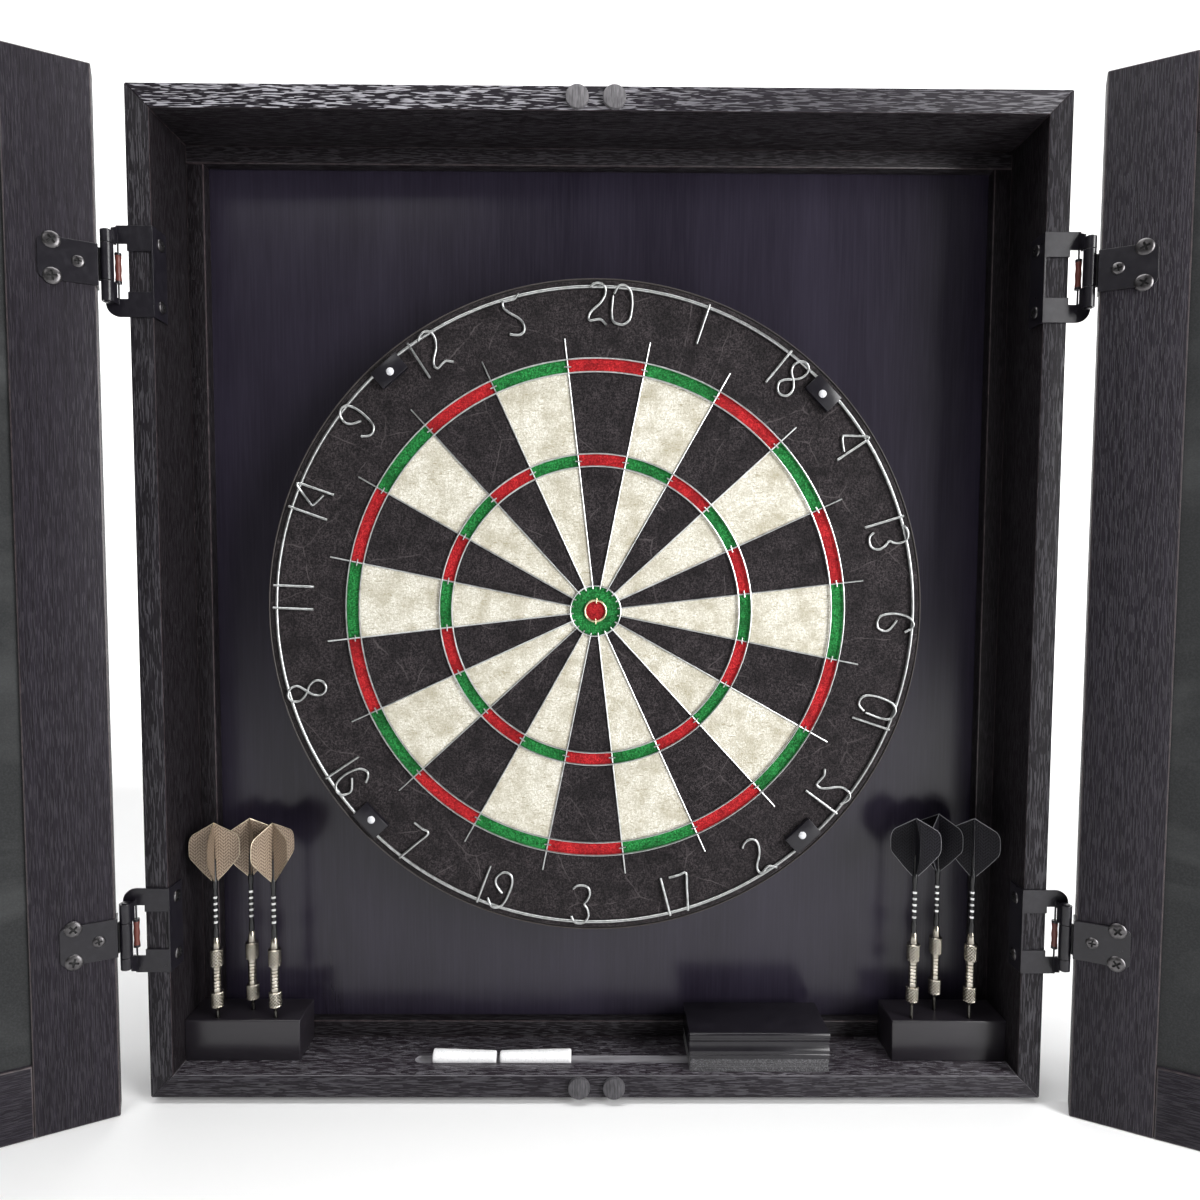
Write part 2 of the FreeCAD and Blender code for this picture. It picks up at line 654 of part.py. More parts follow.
def ring_clips():
    """Four flat clips that hold the number ring on the board, and their rivets."""
    y = BOARD_FACE_Y - 2 * NUMBER_RING_WIRE_R
    top = y - CLIP_T
    clips, rivets = [], []
    for angle in CLIP_ANGLES:
        low = BOARD_Z + CLIP_R - CLIP_DEPTH / 2
        plate = box(BOARD_X - CLIP_WIDTH / 2, BOARD_X + CLIP_WIDTH / 2, top, y, low, low + CLIP_DEPTH)
        foot = box(BOARD_X - CLIP_WIDTH / 2, BOARD_X + CLIP_WIDTH / 2, y, BOARD_FACE_Y, low, low + CLIP_T)
        hole_at = V(BOARD_X, top, low + CLIP_DEPTH * 0.42)
        clip = fuse([plate, foot]).cut(rod(RIVET_R / 2, hole_at, Y_AXIS * CLIP_T))
        head = rod(RIVET_R, hole_at, Y_AXIS * -RIVET_HEAD_T)
        shank = rod(RIVET_R / 2, hole_at, Y_AXIS * (BOARD_FACE_Y - top))
        rivet = fuse([head, shank])
        for piece, group in ((clip, clips), (rivet, rivets)):
            piece.rotate(V(BOARD_X, 0, BOARD_Z), Y_AXIS, angle)
            group.append(piece)
    return clips, rivets


def hook_screw():
    """Screw in the middle of the board's back whose head drops behind the hanger's slot."""
    head_y = HANGER_FACE_Y + HANGER_T + 0.3
    start = V(BOARD_X, SISAL_BACK_Y, BOARD_Z)
    shank = rod(HOOK_R, start, Y_AXIS * (head_y - SISAL_BACK_Y))
    head = rod(HOOK_HEAD_R, V(BOARD_X, head_y, BOARD_Z), Y_AXIS * HOOK_HEAD_T)
    return fuse([shank, head])


def hanger_screw_seats():
    """Seats of the four screws that hold the hanger on the back panel."""
    y = PANEL_Y - HANGER_T
    return [V(BOARD_X + x, y, BOARD_Z + z) for x in (-HANGER_SCREW_X, HANGER_SCREW_X)
            for z in (-HANGER_SCREW_Z, HANGER_SCREW_Z)]


def board_hanger():
    """Pressed steel hanger: two feet, a raised face and a slot open at the top."""
    z0 = BOARD_Z - HANGER_HALF_H
    z1 = BOARD_Z + HANGER_HALF_H
    pieces = []
    for side in (-1, 1):
        step = BOARD_X + side * HANGER_STEP_X
        pieces.append(box(step, BOARD_X + side * HANGER_HALF_W, PANEL_Y - HANGER_T, PANEL_Y, z0, z1))
        pieces.append(box(step, step + side * HANGER_T, HANGER_FACE_Y, PANEL_Y, z0, z1))
    pieces.append(box(BOARD_X - HANGER_STEP_X, BOARD_X + HANGER_STEP_X,
                      HANGER_FACE_Y, HANGER_FACE_Y + HANGER_T, z0, z1))
    slot_r = HOOK_R + HOOK_PLAY
    slot = fuse([
        rod(slot_r, V(BOARD_X, HANGER_FACE_Y - 1, BOARD_Z), Y_AXIS * (HANGER_T + 2)),
        box(BOARD_X - slot_r, BOARD_X + slot_r, HANGER_FACE_Y - 1, HANGER_FACE_Y + HANGER_T + 1,
            BOARD_Z, z1 + 1),
    ])
    hanger = fuse(pieces).cut(slot)
    for seat in hanger_screw_seats():
        hanger = hanger.cut(rod(SHANK_R, seat, Y_AXIS * HANGER_T))
    return hanger


def save_board():
    """The dart board, everything fixed to it, and its hanger on the panel."""
    sisal = disc(BOARD_R - RIM_T, BOARD_FACE_Y, SISAL_T)
    backing = disc(BOARD_R - RIM_T, SISAL_BACK_Y, BACKING_T, HOOK_R)
    rim = disc(BOARD_R, BOARD_FACE_Y - 0.4, SISAL_T + BACKING_T + 0.4, BOARD_R - RIM_T)
    clips, rivets = ring_clips()
    pieces = {
        "sisal_disc": [sisal],
        "board_backing": [backing],
        "rim_band": [rim],
        "wire_spider": wire_spider(),
        "number_ring": [wire_ring(NUMBER_RING_R, NUMBER_RING_WIRE_R, BOARD_FACE_Y - NUMBER_RING_WIRE_R)],
        "number_wires": number_wires(),
        "ring_clips": clips,
        "clip_rivets": rivets,
        "board_hook_screw": [hook_screw()],
    }
    for node, solids in pieces.items():
        save(node, turned(solids))
    save("board_hanger", [board_hanger()])
    across = X_AXIS
    screws = [pan_screw(seat, Y_AXIS * -1, across, 3.6, 1.0, SHANK_R, PANEL_T - 1)
              for seat in hanger_screw_seats()]
    save("hanger_screws", screws)


# ---------------------------------------------------------------- darts, chalk and eraser

def dart_places(name, side):
    """Plan positions of the three darts of one block."""
    middle = side * (BLOCK_IN_X + INNER_X) / 2 + DART_SHIFT_X[name]
    return [(middle - DART_SPACING, DART_FRONT_Y), (middle, DART_MIDDLE_Y), (middle + DART_SPACING, DART_FRONT_Y)]


def dart_block(name, side):
    """Wooden block with three blind holes for dart points."""
    block = box(side * BLOCK_IN_X, side * INNER_X, BLOCK_FRONT_Y, CLEAT_Y, SHELF_Z, SHELF_Z + BLOCK_H)
    depth = DART_SETS[name]
    for x, y in dart_places(name, side):
        block = block.cut(rod(DART_HOLE_R, V(x, y, SHELF_Z + BLOCK_H - depth), Z_AXIS * depth))
    return block


def revolved(outline, base):
    """A turned shape from (radius, height) pairs, standing at base."""
    points = [V(0, 0, outline[0][1])] + [V(r, 0, z) for r, z in outline] + [V(0, 0, outline[-1][1])]
    shape = Part.Face(Part.makePolygon(points + [points[0]])).revolve(V(0, 0, 0), Z_AXIS, 360)
    shape.translate(base)
    return shape


def dart_barrel(base):
    """Barrel with two collars, and the steel point that stands in the block."""
    barrel = revolved(BARREL_OUTLINE, base)
    point = rod(POINT_R, base - Z_AXIS * (POINT_LENGTH - 3), Z_AXIS * (POINT_LENGTH - 3))
    tip = Part.makeCone(0.2, POINT_R, 3, base - Z_AXIS * POINT_LENGTH, Z_AXIS)
    return fuse([barrel, point, tip])


def dart_shaft(base):
    """Shaft with its raised rings; its slotted top holds the flight."""
    start = base + Z_AXIS * SHAFT_BOTTOM
    pieces = [rod(SHAFT_R, start, Z_AXIS * SHAFT_LENGTH)]
    for height in SHAFT_RINGS:
        pieces.append(rod(SHAFT_RING_R, start + Z_AXIS * (height - SHAFT_RING_T / 2), Z_AXIS * SHAFT_RING_T))
    return fuse(pieces).cut(dart_flight(base))


def dart_flight(base):
    """Four thin wings crossing on the dart's axis."""
    top = base + Z_AXIS * FLIGHT_TOP
    wings = []
    for across, thick in ((X_AXIS, Y_AXIS), (Y_AXIS, X_AXIS)):
        half = [top + across * out + Z_AXIS * drop for out, drop in FLIGHT_OUTLINE]
        other = [top - across * out + Z_AXIS * drop for out, drop in FLIGHT_OUTLINE[1:-1]]
        outline = [point - thick * FLIGHT_T / 2 for point in half + other[::-1]]
        wings.append(prism(outline, thick * FLIGHT_T))
    return fuse(wings)


def save_darts():
    """Two blocks with three darts each."""
    for name, side in SIDES:
        save(name + "_dart_block", [dart_block(name, side)])
        hole_bottom = SHELF_Z + BLOCK_H - DART_SETS[name]
        for number, (x, y) in enumerate(dart_places(name, side), 1):
            base = V(x, y, hole_bottom + 0.1 + POINT_LENGTH)
            stem = name + "_dart_" + str(number)
            save(stem + "_barrel", [dart_barrel(base)])
            save(stem + "_shaft", [dart_shaft(base)])
            save(stem + "_flight", [dart_flight(base)])


def chalk_piece(start_x, run):
    """Tapered stick lying in the groove, its thick end at start_x."""
    start = V(start_x, GROOVE_Y, SHELF_Z + CHALK_REST)
    along = V(run, 0, -CHALK_DROP)
    return Part.makeCone(CHALK_R, CHALK_END_R, along.Length, start, along)


def eraser_body():
    """Grip with a finger groove along each long side."""
    low = SHELF_Z + FELT_T
    body = box(*ERASER_X, *ERASER_Y, low, SHELF_Z + ERASER_TOP)
    inset = ERASER_FINGER_R - ERASER_FINGER_DEPTH
    for y in (ERASER_Y[0] - inset, ERASER_Y[1] + inset):
        start = V(ERASER_X[0], y, SHELF_Z + ERASER_FINGER_Z)
        body = body.cut(rod(ERASER_FINGER_R, start, X_AXIS * (ERASER_X[1] - ERASER_X[0])))
    return body


def eraser_felt():
    """Felt pad under the grip."""
    return box(ERASER_X[0] + FELT_INSET, ERASER_X[1] - FELT_INSET,
               ERASER_Y[0] + FELT_INSET, ERASER_Y[1] - FELT_INSET, SHELF_Z, SHELF_Z + FELT_T)


def save_shelf_items():
    """Chalk and eraser on the bottom board."""
    for name, (start_x, run) in CHALKS.items():
        save(name + "_chalk", [chalk_piece(start_x, run)])
    save("eraser_body", [eraser_body()])
    save("eraser_felt", [eraser_felt()])


os.makedirs("parts", exist_ok=True)
save_cabinet()
save_hinges()
save_doors()
save_board()
save_darts()
save_shelf_items()
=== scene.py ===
"""Looks of a wall-hung dart board cabinet: materials, rounded woodwork, wires, darts and chalk.

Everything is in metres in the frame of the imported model: +X across the front, -Y towards the
viewer, +Z up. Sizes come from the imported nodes; the rest are the named values below.
"""

import json
import math
import random

import bmesh
import bpy
from mathutils import Matrix, Vector


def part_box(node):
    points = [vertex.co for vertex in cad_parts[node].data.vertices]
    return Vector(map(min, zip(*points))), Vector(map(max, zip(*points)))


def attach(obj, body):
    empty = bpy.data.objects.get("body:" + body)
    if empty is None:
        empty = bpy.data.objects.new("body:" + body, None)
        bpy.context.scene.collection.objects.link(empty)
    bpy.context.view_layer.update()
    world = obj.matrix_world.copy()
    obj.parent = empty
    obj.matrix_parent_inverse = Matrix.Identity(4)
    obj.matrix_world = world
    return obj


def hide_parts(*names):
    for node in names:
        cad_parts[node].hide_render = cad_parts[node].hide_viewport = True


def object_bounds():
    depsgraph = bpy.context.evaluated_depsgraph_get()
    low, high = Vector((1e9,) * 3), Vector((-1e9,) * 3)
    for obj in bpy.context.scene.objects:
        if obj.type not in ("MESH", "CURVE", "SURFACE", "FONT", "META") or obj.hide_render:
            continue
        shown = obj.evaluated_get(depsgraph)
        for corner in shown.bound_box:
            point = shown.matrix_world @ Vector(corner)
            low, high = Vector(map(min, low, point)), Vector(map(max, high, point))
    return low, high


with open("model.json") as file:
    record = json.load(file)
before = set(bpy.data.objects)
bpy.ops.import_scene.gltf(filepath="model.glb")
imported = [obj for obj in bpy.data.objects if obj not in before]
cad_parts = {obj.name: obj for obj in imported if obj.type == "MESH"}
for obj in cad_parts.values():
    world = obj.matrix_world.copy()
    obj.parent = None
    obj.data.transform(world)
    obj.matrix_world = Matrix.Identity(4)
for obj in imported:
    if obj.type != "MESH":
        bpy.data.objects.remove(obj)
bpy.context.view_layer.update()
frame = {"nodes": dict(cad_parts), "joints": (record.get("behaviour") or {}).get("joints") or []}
random.seed(7)

MM = 0.001
SIDES = (("left", -1), ("right", 1))
X_AXIS = Vector((1, 0, 0))
Y_AXIS = Vector((0, 1, 0))
Z_AXIS = Vector((0, 0, 1))
SHARP_FROM = math.radians(40)

# Woodwork
BOARD_T = 15.5 * MM
CLEAT_W = 12.4 * MM
WOOD_BEVEL = 0.7 * MM
BIG_BEVEL = 0.9 * MM
GROOVE_HALF_W = 4.5 * MM
GROOVE_DEPTH = 3.0 * MM
GROOVE_HALF_L = 128.7 * MM
GROOVE_FROM_FRONT = 19.5 * MM
DART_HOLE_R = 1.5 * MM
MAGNET_RIM = 0.5 * MM
KNOB_NECK_L = 16 * MM

# Hinges and screws
HINGE_LEVELS = ((217.8 * MM, 1), (-219.1 * MM, -1))
HINGE_Y = -70.0 * MM
WING_FRONT_Y = -63.0 * MM
LEG_X = (311.65 * MM, 312.95 * MM)
LEG_WEB = ((HINGE_Y, 17.5 * MM), (HINGE_Y, 25.4 * MM), (WING_FRONT_Y, 28.9 * MM), (WING_FRONT_Y, 17.5 * MM))
ROLLER_CUP = 1.6 * MM
SCREW_HEAD_H = 1.35 * MM
SCREW_DOME = ((1, 0.0), (1, 0.18), (0.94, 0.45), (0.78, 0.78), (0.5, 0.96), (0.0, 1.0))

# Dart board
BOARD_TURN = math.radians(2.3)
SECTORS = 20
STEPS_PER_SECTOR = 8
EDGE_ROUND = 0.8 * MM
FELTING = 0.12 * MM
INNER_BULL_R = 7.2 * MM
OUTER_BULL_R = 17.2 * MM
TREBLE_IN_R = 98.0 * MM
TREBLE_OUT_R = 106.5 * MM
DOUBLE_IN_R = 161.0 * MM
DOUBLE_OUT_R = 170.0 * MM
SPOKE_END_R = 184.0 * MM
WIRE_R = 0.58 * MM
TICK_ENDS_R = (15.2 * MM, 19.2 * MM)
TICK_WIRE_R = 0.55 * MM
STAPLES_R = (165.4 * MM, 102.2 * MM)
STAPLE_HALF_L = 2.2 * MM
STAPLE_WIRE_R = 0.5 * MM
BULL_WIRE_R = 0.75 * MM
NUMBER_RING_R = 217.0 * MM
NUMBER_RING_WIRE_R = 1.1 * MM
NUMBER_WIRE_R = 0.85 * MM
NUMBER_TOP_R = 218.0 * MM
NUMBER_HEIGHT = 26.0 * MM
NUMBER_ORDER = (20, 1, 18, 4, 13, 6, 10, 15, 2, 17, 3, 19, 7, 16, 8, 11, 14, 9, 12, 5)
READ_OUTWARD = (10, 15, 2, 17, 3, 19, 7, 16, 8)
CLIP_ANGLES = (43.7, 134.8, 224.5, 316.9)
CLIP_HALF_W = 11 * MM
CLIP_IN_R = 205.5 * MM
CLIP_OUT_R = 218.5 * MM
CLIP_TOP = 4.1 * MM
RIVET_R = 2.65 * MM
RIVET_RISE = 1.3 * MM

# Darts, chalk and eraser
BARREL_L = 53.0 * MM
COLLAR_R = 4.45 * MM
COLLARS = ((3.6 * MM, 13.6 * MM), (33.2 * MM, 44.8 * MM))
KNURL_CUT = 0.12 * MM
KNURL_DEPTH = 0.42 * MM
KNURL_PITCH = 2.4 * MM
GRIP_RINGS = (17.0, 19.5, 22.0, 24.5, 27.0, 29.5)
SHAFT_RINGS = (11.4, 15.9, 20.3, 24.7, 29.2)
FLIGHT_TURNS = {"left": (9, 30, 54), "right": (-12, -40, -24)}
FLIGHT_HALF_T = 0.17 * MM
CHALK_BIG_R = 5.0 * MM
CHALK_SMALL_R = 4.35 * MM
CHALK_DROP = 0.7 * MM
GRIP_GROOVE = 2.2 * MM
FELT_PROUD = 1.2 * MM

# Camera, from the pinhole fit: place, turn and focal length
CAMERA_PLACE = Vector((-2.3, -612.4, 26.6)) * MM
CAMERA_PITCH = 0.056
CAMERA_YAW = -0.006
CAMERA_ROLL = 0.004
CAMERA_LENS = 24.78
CAMERA_SHIFT_Y = 0.0128


# ---- mesh helpers

def smooth_shading(mesh):
    """Smooth faces that keep their hard corners."""
    mesh.shade_smooth()
    mesh.set_sharp_from_angle(angle=SHARP_FROM)


def mesh_object(name, bm, materials, smooth=True):
    """An object from a bmesh, with its materials."""
    bm.normal_update()
    mesh = bpy.data.meshes.new(name)
    bm.to_mesh(mesh)
    bm.free()
    for material in materials:
        mesh.materials.append(material)
    if smooth:
        smooth_shading(mesh)
    obj = bpy.data.objects.new(name, mesh)
    bpy.context.scene.collection.objects.link(obj)
    return obj


def tidy_normals(bm):
    """Make every face look outward."""
    bmesh.ops.recalc_face_normals(bm, faces=bm.faces[:])


def cut_with(obj, bm):
    """Cut the solid in bm out of obj; the cut faces get the object's second material."""
    tidy_normals(bm)
    for face in bm.faces:
        face.material_index = 1
    cutter = mesh_object("cutter", bm, list(obj.data.materials))
    modifier = obj.modifiers.new("cut", "BOOLEAN")
    modifier.operation = "DIFFERENCE"
    modifier.solver = "EXACT"
    modifier.object = cutter
    bpy.context.view_layer.update()
    result = bpy.data.meshes.new_from_object(obj.evaluated_get(bpy.context.evaluated_depsgraph_get()))
    obj.modifiers.clear()
    obj.data = result
    smooth_shading(result)
    bpy.data.objects.remove(cutter)


def piece(name, bm, finishes, body, slot, *nodes, swing=None, cuts=None, closed=True):
    """A finished piece: it rides a body, has a finish and stands for CAD nodes; film isn't closed."""
    if closed:
        tidy_normals(bm)
    obj = mesh_object(name, bm, [M[key] for key in finishes], closed)
    if cuts:
        cut_with(obj, cuts)
    if swing:
        obj.matrix_world = swing
    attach(obj, body)
    if nodes:
        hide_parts(*nodes)


def add_prism(bm, outline, push, bevel=WOOD_BEVEL, segments=2, edge_material=-1):
    """A flat outline pushed into a solid, its edges rounded."""
    verts = [bm.verts.new(p) for p in outline]
    made = bmesh.ops.extrude_face_region(bm, geom=[bm.faces.new(verts)])
    moved = [v for v in made["geom"] if isinstance(v, bmesh.types.BMVert)]
    bmesh.ops.translate(bm, verts=moved, vec=push)
    solid = verts + moved
    faces = {f for v in solid for f in v.link_faces}
    bmesh.ops.recalc_face_normals(bm, faces=list(faces))
    if bevel:
        edges = {e for v in solid for e in v.link_edges}
        bmesh.ops.bevel(bm, geom=list(edges), offset=bevel, segments=segments, profile=0.5,
                        affect="EDGES", material=edge_material)


def add_box(bm, low, high, bevel=WOOD_BEVEL, segments=2, edge_material=-1, place=Matrix()):
    """A block between two corners with rounded edges."""
    flat = ((low[0], low[1]), (high[0], low[1]), (high[0], high[1]), (low[0], high[1]))
    outline = [place @ Vector((x, y, low[2])) for x, y in flat]
    push = place.to_3x3() @ Vector((0, 0, high[2] - low[2]))
    add_prism(bm, outline, push, bevel, segments, edge_material)


def add_lathe(bm, profile, matrix, sides=64, wobble=None, material_at=None):
    """A turned shape from (radius, height) pairs; wobble changes the radius at an angle and height."""
    rings = []
    for radius, height in profile:
        ring = []
        for step in range(sides if radius >= 1e-7 else 1):
            angle = 2 * math.pi * step / sides
            r = radius + (wobble(angle, height, radius) if wobble and radius >= 1e-7 else 0)
            ring.append(bm.verts.new(matrix @ Vector((r * math.cos(angle), r * math.sin(angle), height))))
        rings.append(ring)
    for index, (low, high) in enumerate(zip(rings, rings[1:])):
        for step in range(sides):
            after = (step + 1) % sides
            loop = [low[step % len(low)], low[after % len(low)]]
            loop += [high[after % len(high)], high[step % len(high)]]
            loop = list(dict.fromkeys(loop))
            if len(loop) < 3:
                continue
            face = bm.faces.new(loop)
            if material_at:
                face.material_index = material_at(index)


def facing_front(x, y, z):
    """Place for a turned shape that stands on a spot of the front and runs back from it."""
    return Matrix.Translation((x, y, z)) @ Matrix.Rotation(-math.pi / 2, 4, "X")


def smooth_path(points, steps):
    """A Catmull-Rom curve through the points."""
    if len(points) < 3:
        return points
    ends = [2 * points[0] - points[1]] + list(points) + [2 * points[-1] - points[-2]]
    path = []
    for p0, p1, p2, p3 in zip(ends, ends[1:], ends[2:], ends[3:]):
        for step in range(steps):
            t = step / steps
            path.append(0.5 * ((2 * p1) + (p2 - p0) * t + (2 * p0 - 5 * p1 + 4 * p2 - p3) * t * t
                               + (3 * p1 - p0 - 3 * p2 + p3) * t ** 3))
    path.append(points[-1])
    return path


def add_tube(bm, path, radius, sides=8, closed=False):
    """A round wire along a path that lies in planes facing -Y, with rounded ends."""
    count = len(path)
    rings = []
    for index, point in enumerate(path):
        before = path[index - 1] if index or closed else point
        after = path[(index + 1) % count] if index < count - 1 or closed else point
        along_wire = (after - before).normalized()
        across = along_wire.cross(Y_AXIS).normalized()
        up = across.cross(along_wire)
        angles = [2 * math.pi * step / sides for step in range(sides)]
        spokes = [across * math.cos(a) + up * math.sin(a) for a in angles]
        rings.append([bm.verts.new(point + radius * spoke) for spoke in spokes])
    for low, high in list(zip(rings, rings[1:])) + ([(rings[-1], rings[0])] if closed else []):
        for step in range(sides):
            after = (step + 1) % sides
            bm.faces.new((low[step], low[after], high[after], high[step]))
    if closed:
        return
    for ring, tip, inner in ((rings[0], path[0], path[1]), (rings[-1], path[-1], path[-2])):
        end = bm.verts.new(tip + (tip - inner).normalized() * radius * 0.7)
        for step in range(sides):
            bm.faces.new((ring[step], ring[(step + 1) % sides], end))


def box_of(points):
    """The lowest and highest corner round some points."""
    return tuple(Vector([pick(p[i] for p in points) for i in range(3)]) for pick in (min, max))


def corners(node):
    """The lowest and highest corner of a CAD node."""
    low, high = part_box(node)
    return Vector(low), Vector(high)


def solid_boxes(node, back=None):
    """The box of each separate solid of a CAD node, in the order the solids come."""
    bm = bmesh.new()
    bm.from_mesh(frame["nodes"][node].data)
    bmesh.ops.remove_doubles(bm, verts=bm.verts[:], dist=1e-6)
    if back:
        bm.transform(back)
    left = set(bm.verts)
    boxes = []
    for start in bm.verts:
        if start not in left:
            continue
        left.discard(start)
        found = [start]
        for vert in found:
            for edge in vert.link_edges:
                other = edge.other_vert(vert)
                if other in left:
                    left.discard(other)
                    found.append(other)
        boxes.append(box_of([vert.co for vert in found]))
    bm.free()
    return boxes


# ---- material helpers

def screen(color):
    """Linear colour from three 0-255 screen values; anything else is passed on as it is."""
    if not isinstance(color, tuple):
        return color
    shares = [v / 255 for v in color]
    return tuple(v / 12.92 if v <= 0.04045 else ((v + 0.055) / 1.055) ** 2.4 for v in shares) + (1.0,)


def lighter(color, step):
    """A screen colour with each value raised by a step."""
    return tuple(min(255, v + step) for v in color)


def duller(color):
    """A screen colour at seven tenths."""
    return tuple(int(v * 0.7) for v in color)


def along(axis, lengthwise, crosswise):
    """Texture scale that is coarse along the grain and fine across it."""
    scale = [crosswise] * 3
    scale["XYZ".index(axis)] = lengthwise
    return tuple(scale)


class Shader:
    """A material's node tree with short ways to add nodes; colours are 0-255 screen values."""

    def __init__(self, name, metallic=0.0, specular=0.5, sheen=0.0):
        self.material = bpy.data.materials.new(name)
        self.material.use_nodes = True
        self.tree = self.material.node_tree
        self.bsdf = self.tree.nodes["Principled BSDF"]
        self.fill(self.bsdf, {"Metallic": metallic, "Specular IOR Level": specular, "Sheen Weight": sheen})
        self.place = self.add("ShaderNodeTexCoord", {}).outputs["Object"]

    def fill(self, node, sockets):
        """Give sockets a value, or a link from another node."""
        for key, value in sockets.items():
            if isinstance(value, bpy.types.NodeSocket):
                self.tree.links.new(value, node.inputs[key])
            else:
                node.inputs[key].default_value = value

    def add(self, kind, sockets, **settings):
        node = self.tree.nodes.new(kind)
        for key, value in settings.items():
            setattr(node, key, value)
        self.fill(node, sockets)
        return node

    def stretched(self, scale, turn=(0, 0, 0)):
        sockets = {"Vector": self.place, "Scale": scale, "Rotation": turn}
        return self.add("ShaderNodeMapping", sockets).outputs["Vector"]

    def noise(self, vector, scale=1.0, detail=4.0, rough=0.55, distortion=0.0, output="Fac"):
        sockets = {"Vector": vector, "Scale": scale, "Detail": detail, "Roughness": rough}
        return self.add("ShaderNodeTexNoise", sockets | {"Distortion": distortion}).outputs[output]

    def ramp(self, value, *stops):
        """Send a value through stops; a plain number at a stop is a grey."""
        node = self.add("ShaderNodeValToRGB", {"Fac": value})
        elements = node.color_ramp.elements
        while len(elements) < len(stops):
            elements.new(0.5)
        for element, (place, color) in zip(elements, stops):
            element.position = place
            element.color = screen(color) if isinstance(color, tuple) else (color, color, color, 1)
        return node.outputs["Color"]

    def mix(self, factor, low, high):
        sockets = {0: factor, 6: screen(low), 7: screen(high)}
        return self.add("ShaderNodeMix", sockets, data_type="RGBA").outputs[2]

    def blend(self, value, start, stop, low, high, most=1.0):
        """From the low colour towards the high one while a value goes from start to stop."""
        return self.mix(self.ramp(value, (start, 0.0), (stop, most)), low, high)

    def math(self, operation, a, b=0.0):
        return self.add("ShaderNodeMath", {0: a, 1: b}, operation=operation).outputs[0]

    def ease_edges(self, radius):
        """Let sharp sheet edges catch the light as if they were rounded."""
        node = self.add("ShaderNodeBevel", {"Radius": radius}, samples=6)
        self.fill(self.bsdf, {"Normal": node.outputs["Normal"]})

    def bump(self, height, distance, strength):
        node = self.add("ShaderNodeBump", {"Height": height, "Distance": distance, "Strength": strength})
        previous = self.bsdf.inputs["Normal"]
        if previous.links:
            self.fill(node, {"Normal": previous.links[0].from_socket})
        self.fill(self.bsdf, {"Normal": node.outputs["Normal"]})

    def finish(self, color, roughness, *bumps):
        """Colour, roughness as (value, low, high) and bumps as (height, distance, strength)."""
        value, low, high = roughness
        rough = self.ramp(value, (0.0, low), (1.0, high))
        self.fill(self.bsdf, {"Base Color": color, "Roughness": rough})
        for bump in bumps:
            self.bump(*bump)
        return self.material


# ---- materials

def oak(name, axis, glint, dark=(20, 16, 21), light=(38, 34, 41), glint_color=(182, 180, 188),
        gloss=(0.62, 0.4), specular=0.25, dashes=(110, 1500), glint_fades_right=False):
    """Black-stained open-pore oak: short ridges painted silvery as a painted glint, dark open pores and slow
    cloudy figure.
    """
    s = Shader(name, specular=specular)
    fibre = s.noise(s.stretched(along(axis, 40, 1500)), detail=3, rough=0.6)
    dash = s.noise(s.stretched(along(axis, *dashes)), detail=1.5, rough=0.5, distortion=0.15)
    cloud = s.noise(s.stretched(along(axis, 4, 30)), detail=3)
    ridge = s.ramp(dash, (0.53, 0.0), (0.57, 1.0))
    figure = s.ramp(cloud, (0.3, 1.0), (0.75, 0.45))
    shown = s.math("MULTIPLY", s.math("MULTIPLY", ridge, figure), glint)
    # Painted light: the glint fades from left to right, as if lit from the upper left.
    if glint_fades_right:
        across = s.add("ShaderNodeSeparateXYZ", {0: s.place}).outputs[0]
        across = s.math("ADD", s.math("MULTIPLY", across, 1.65), 0.5)
        shown = s.math("MULTIPLY", shown, s.ramp(across, (0.15, 1.0), (0.75, 0.22)))
    # The ridges are mixed towards the glint colour: a painted highlight on the grain.
    color = s.mix(shown, s.blend(fibre, 0.36, 0.7, dark, light), glint_color)
    worn = s.ramp(dash, (0.42, 0.0), (0.58, 1.0))
    return s.finish(color, (worn, *gloss), (fibre, 0.00012, 0.6), (ridge, 0.0002, 0.8))


def worn_edge():
    """Eased edges where the stain is rubbed thin."""
    s = Shader("oak_worn_edge", specular=0.55)
    rub = s.noise(s.place, scale=210)
    return s.finish(s.blend(rub, 0.35, 0.7, (34, 28, 32), (72, 62, 64)), (rub, 0.3, 0.5), (rub, 0.0001, 0.6))


def dusty_groove():
    """Groove floor in lighter grey: chalk dust rubbed into the stain, and a painted highlight for the light
    the curved floor reflects.
    """
    s = Shader("groove_dust_and_sheen")
    dust = s.noise(s.stretched(along("X", 40, 500)), detail=5)
    color = s.blend(dust, 0.3, 0.75, (84, 82, 86), (138, 136, 141))
    return s.finish(color, (dust, 0.4, 0.65), (dust, 0.0001, 0.7))


def panel_black():
    """Smooth blue-black satin veneer with faint flowing figure."""
    s = Shader("panel_black", specular=0.42)
    figure = s.noise(s.stretched((10, 10, 2.6)), detail=6, distortion=1.1)
    fibre = s.noise(s.stretched(along("Z", 25, 900)), detail=2)
    base = s.blend(figure, 0.25, 0.8, (24, 20, 30), (42, 38, 51))
    color = s.blend(fibre, 0.4, 0.7, base, (54, 50, 63), 0.25)
    return s.finish(color, (figure, 0.18, 0.27), (fibre, 0.00004, 0.5), (figure, 0.0004, 0.25))


def lacquer(name, color=(30, 27, 32), rough=(0.26, 0.34)):
    """Satin black lacquer with a trace of wood under it."""
    s = Shader(name, specular=0.6)
    fibre = s.noise(s.stretched(along("X", 60, 700)), detail=3)
    dust = s.noise(s.place, scale=900, detail=2)
    base = s.blend(fibre, 0.3, 0.8, color, lighter(color, 5))
    shown = s.blend(dust, 0.68, 0.78, base, (90, 90, 94), 0.25)
    return s.finish(shown, (fibre, *rough), (fibre, 0.00004, 0.5))


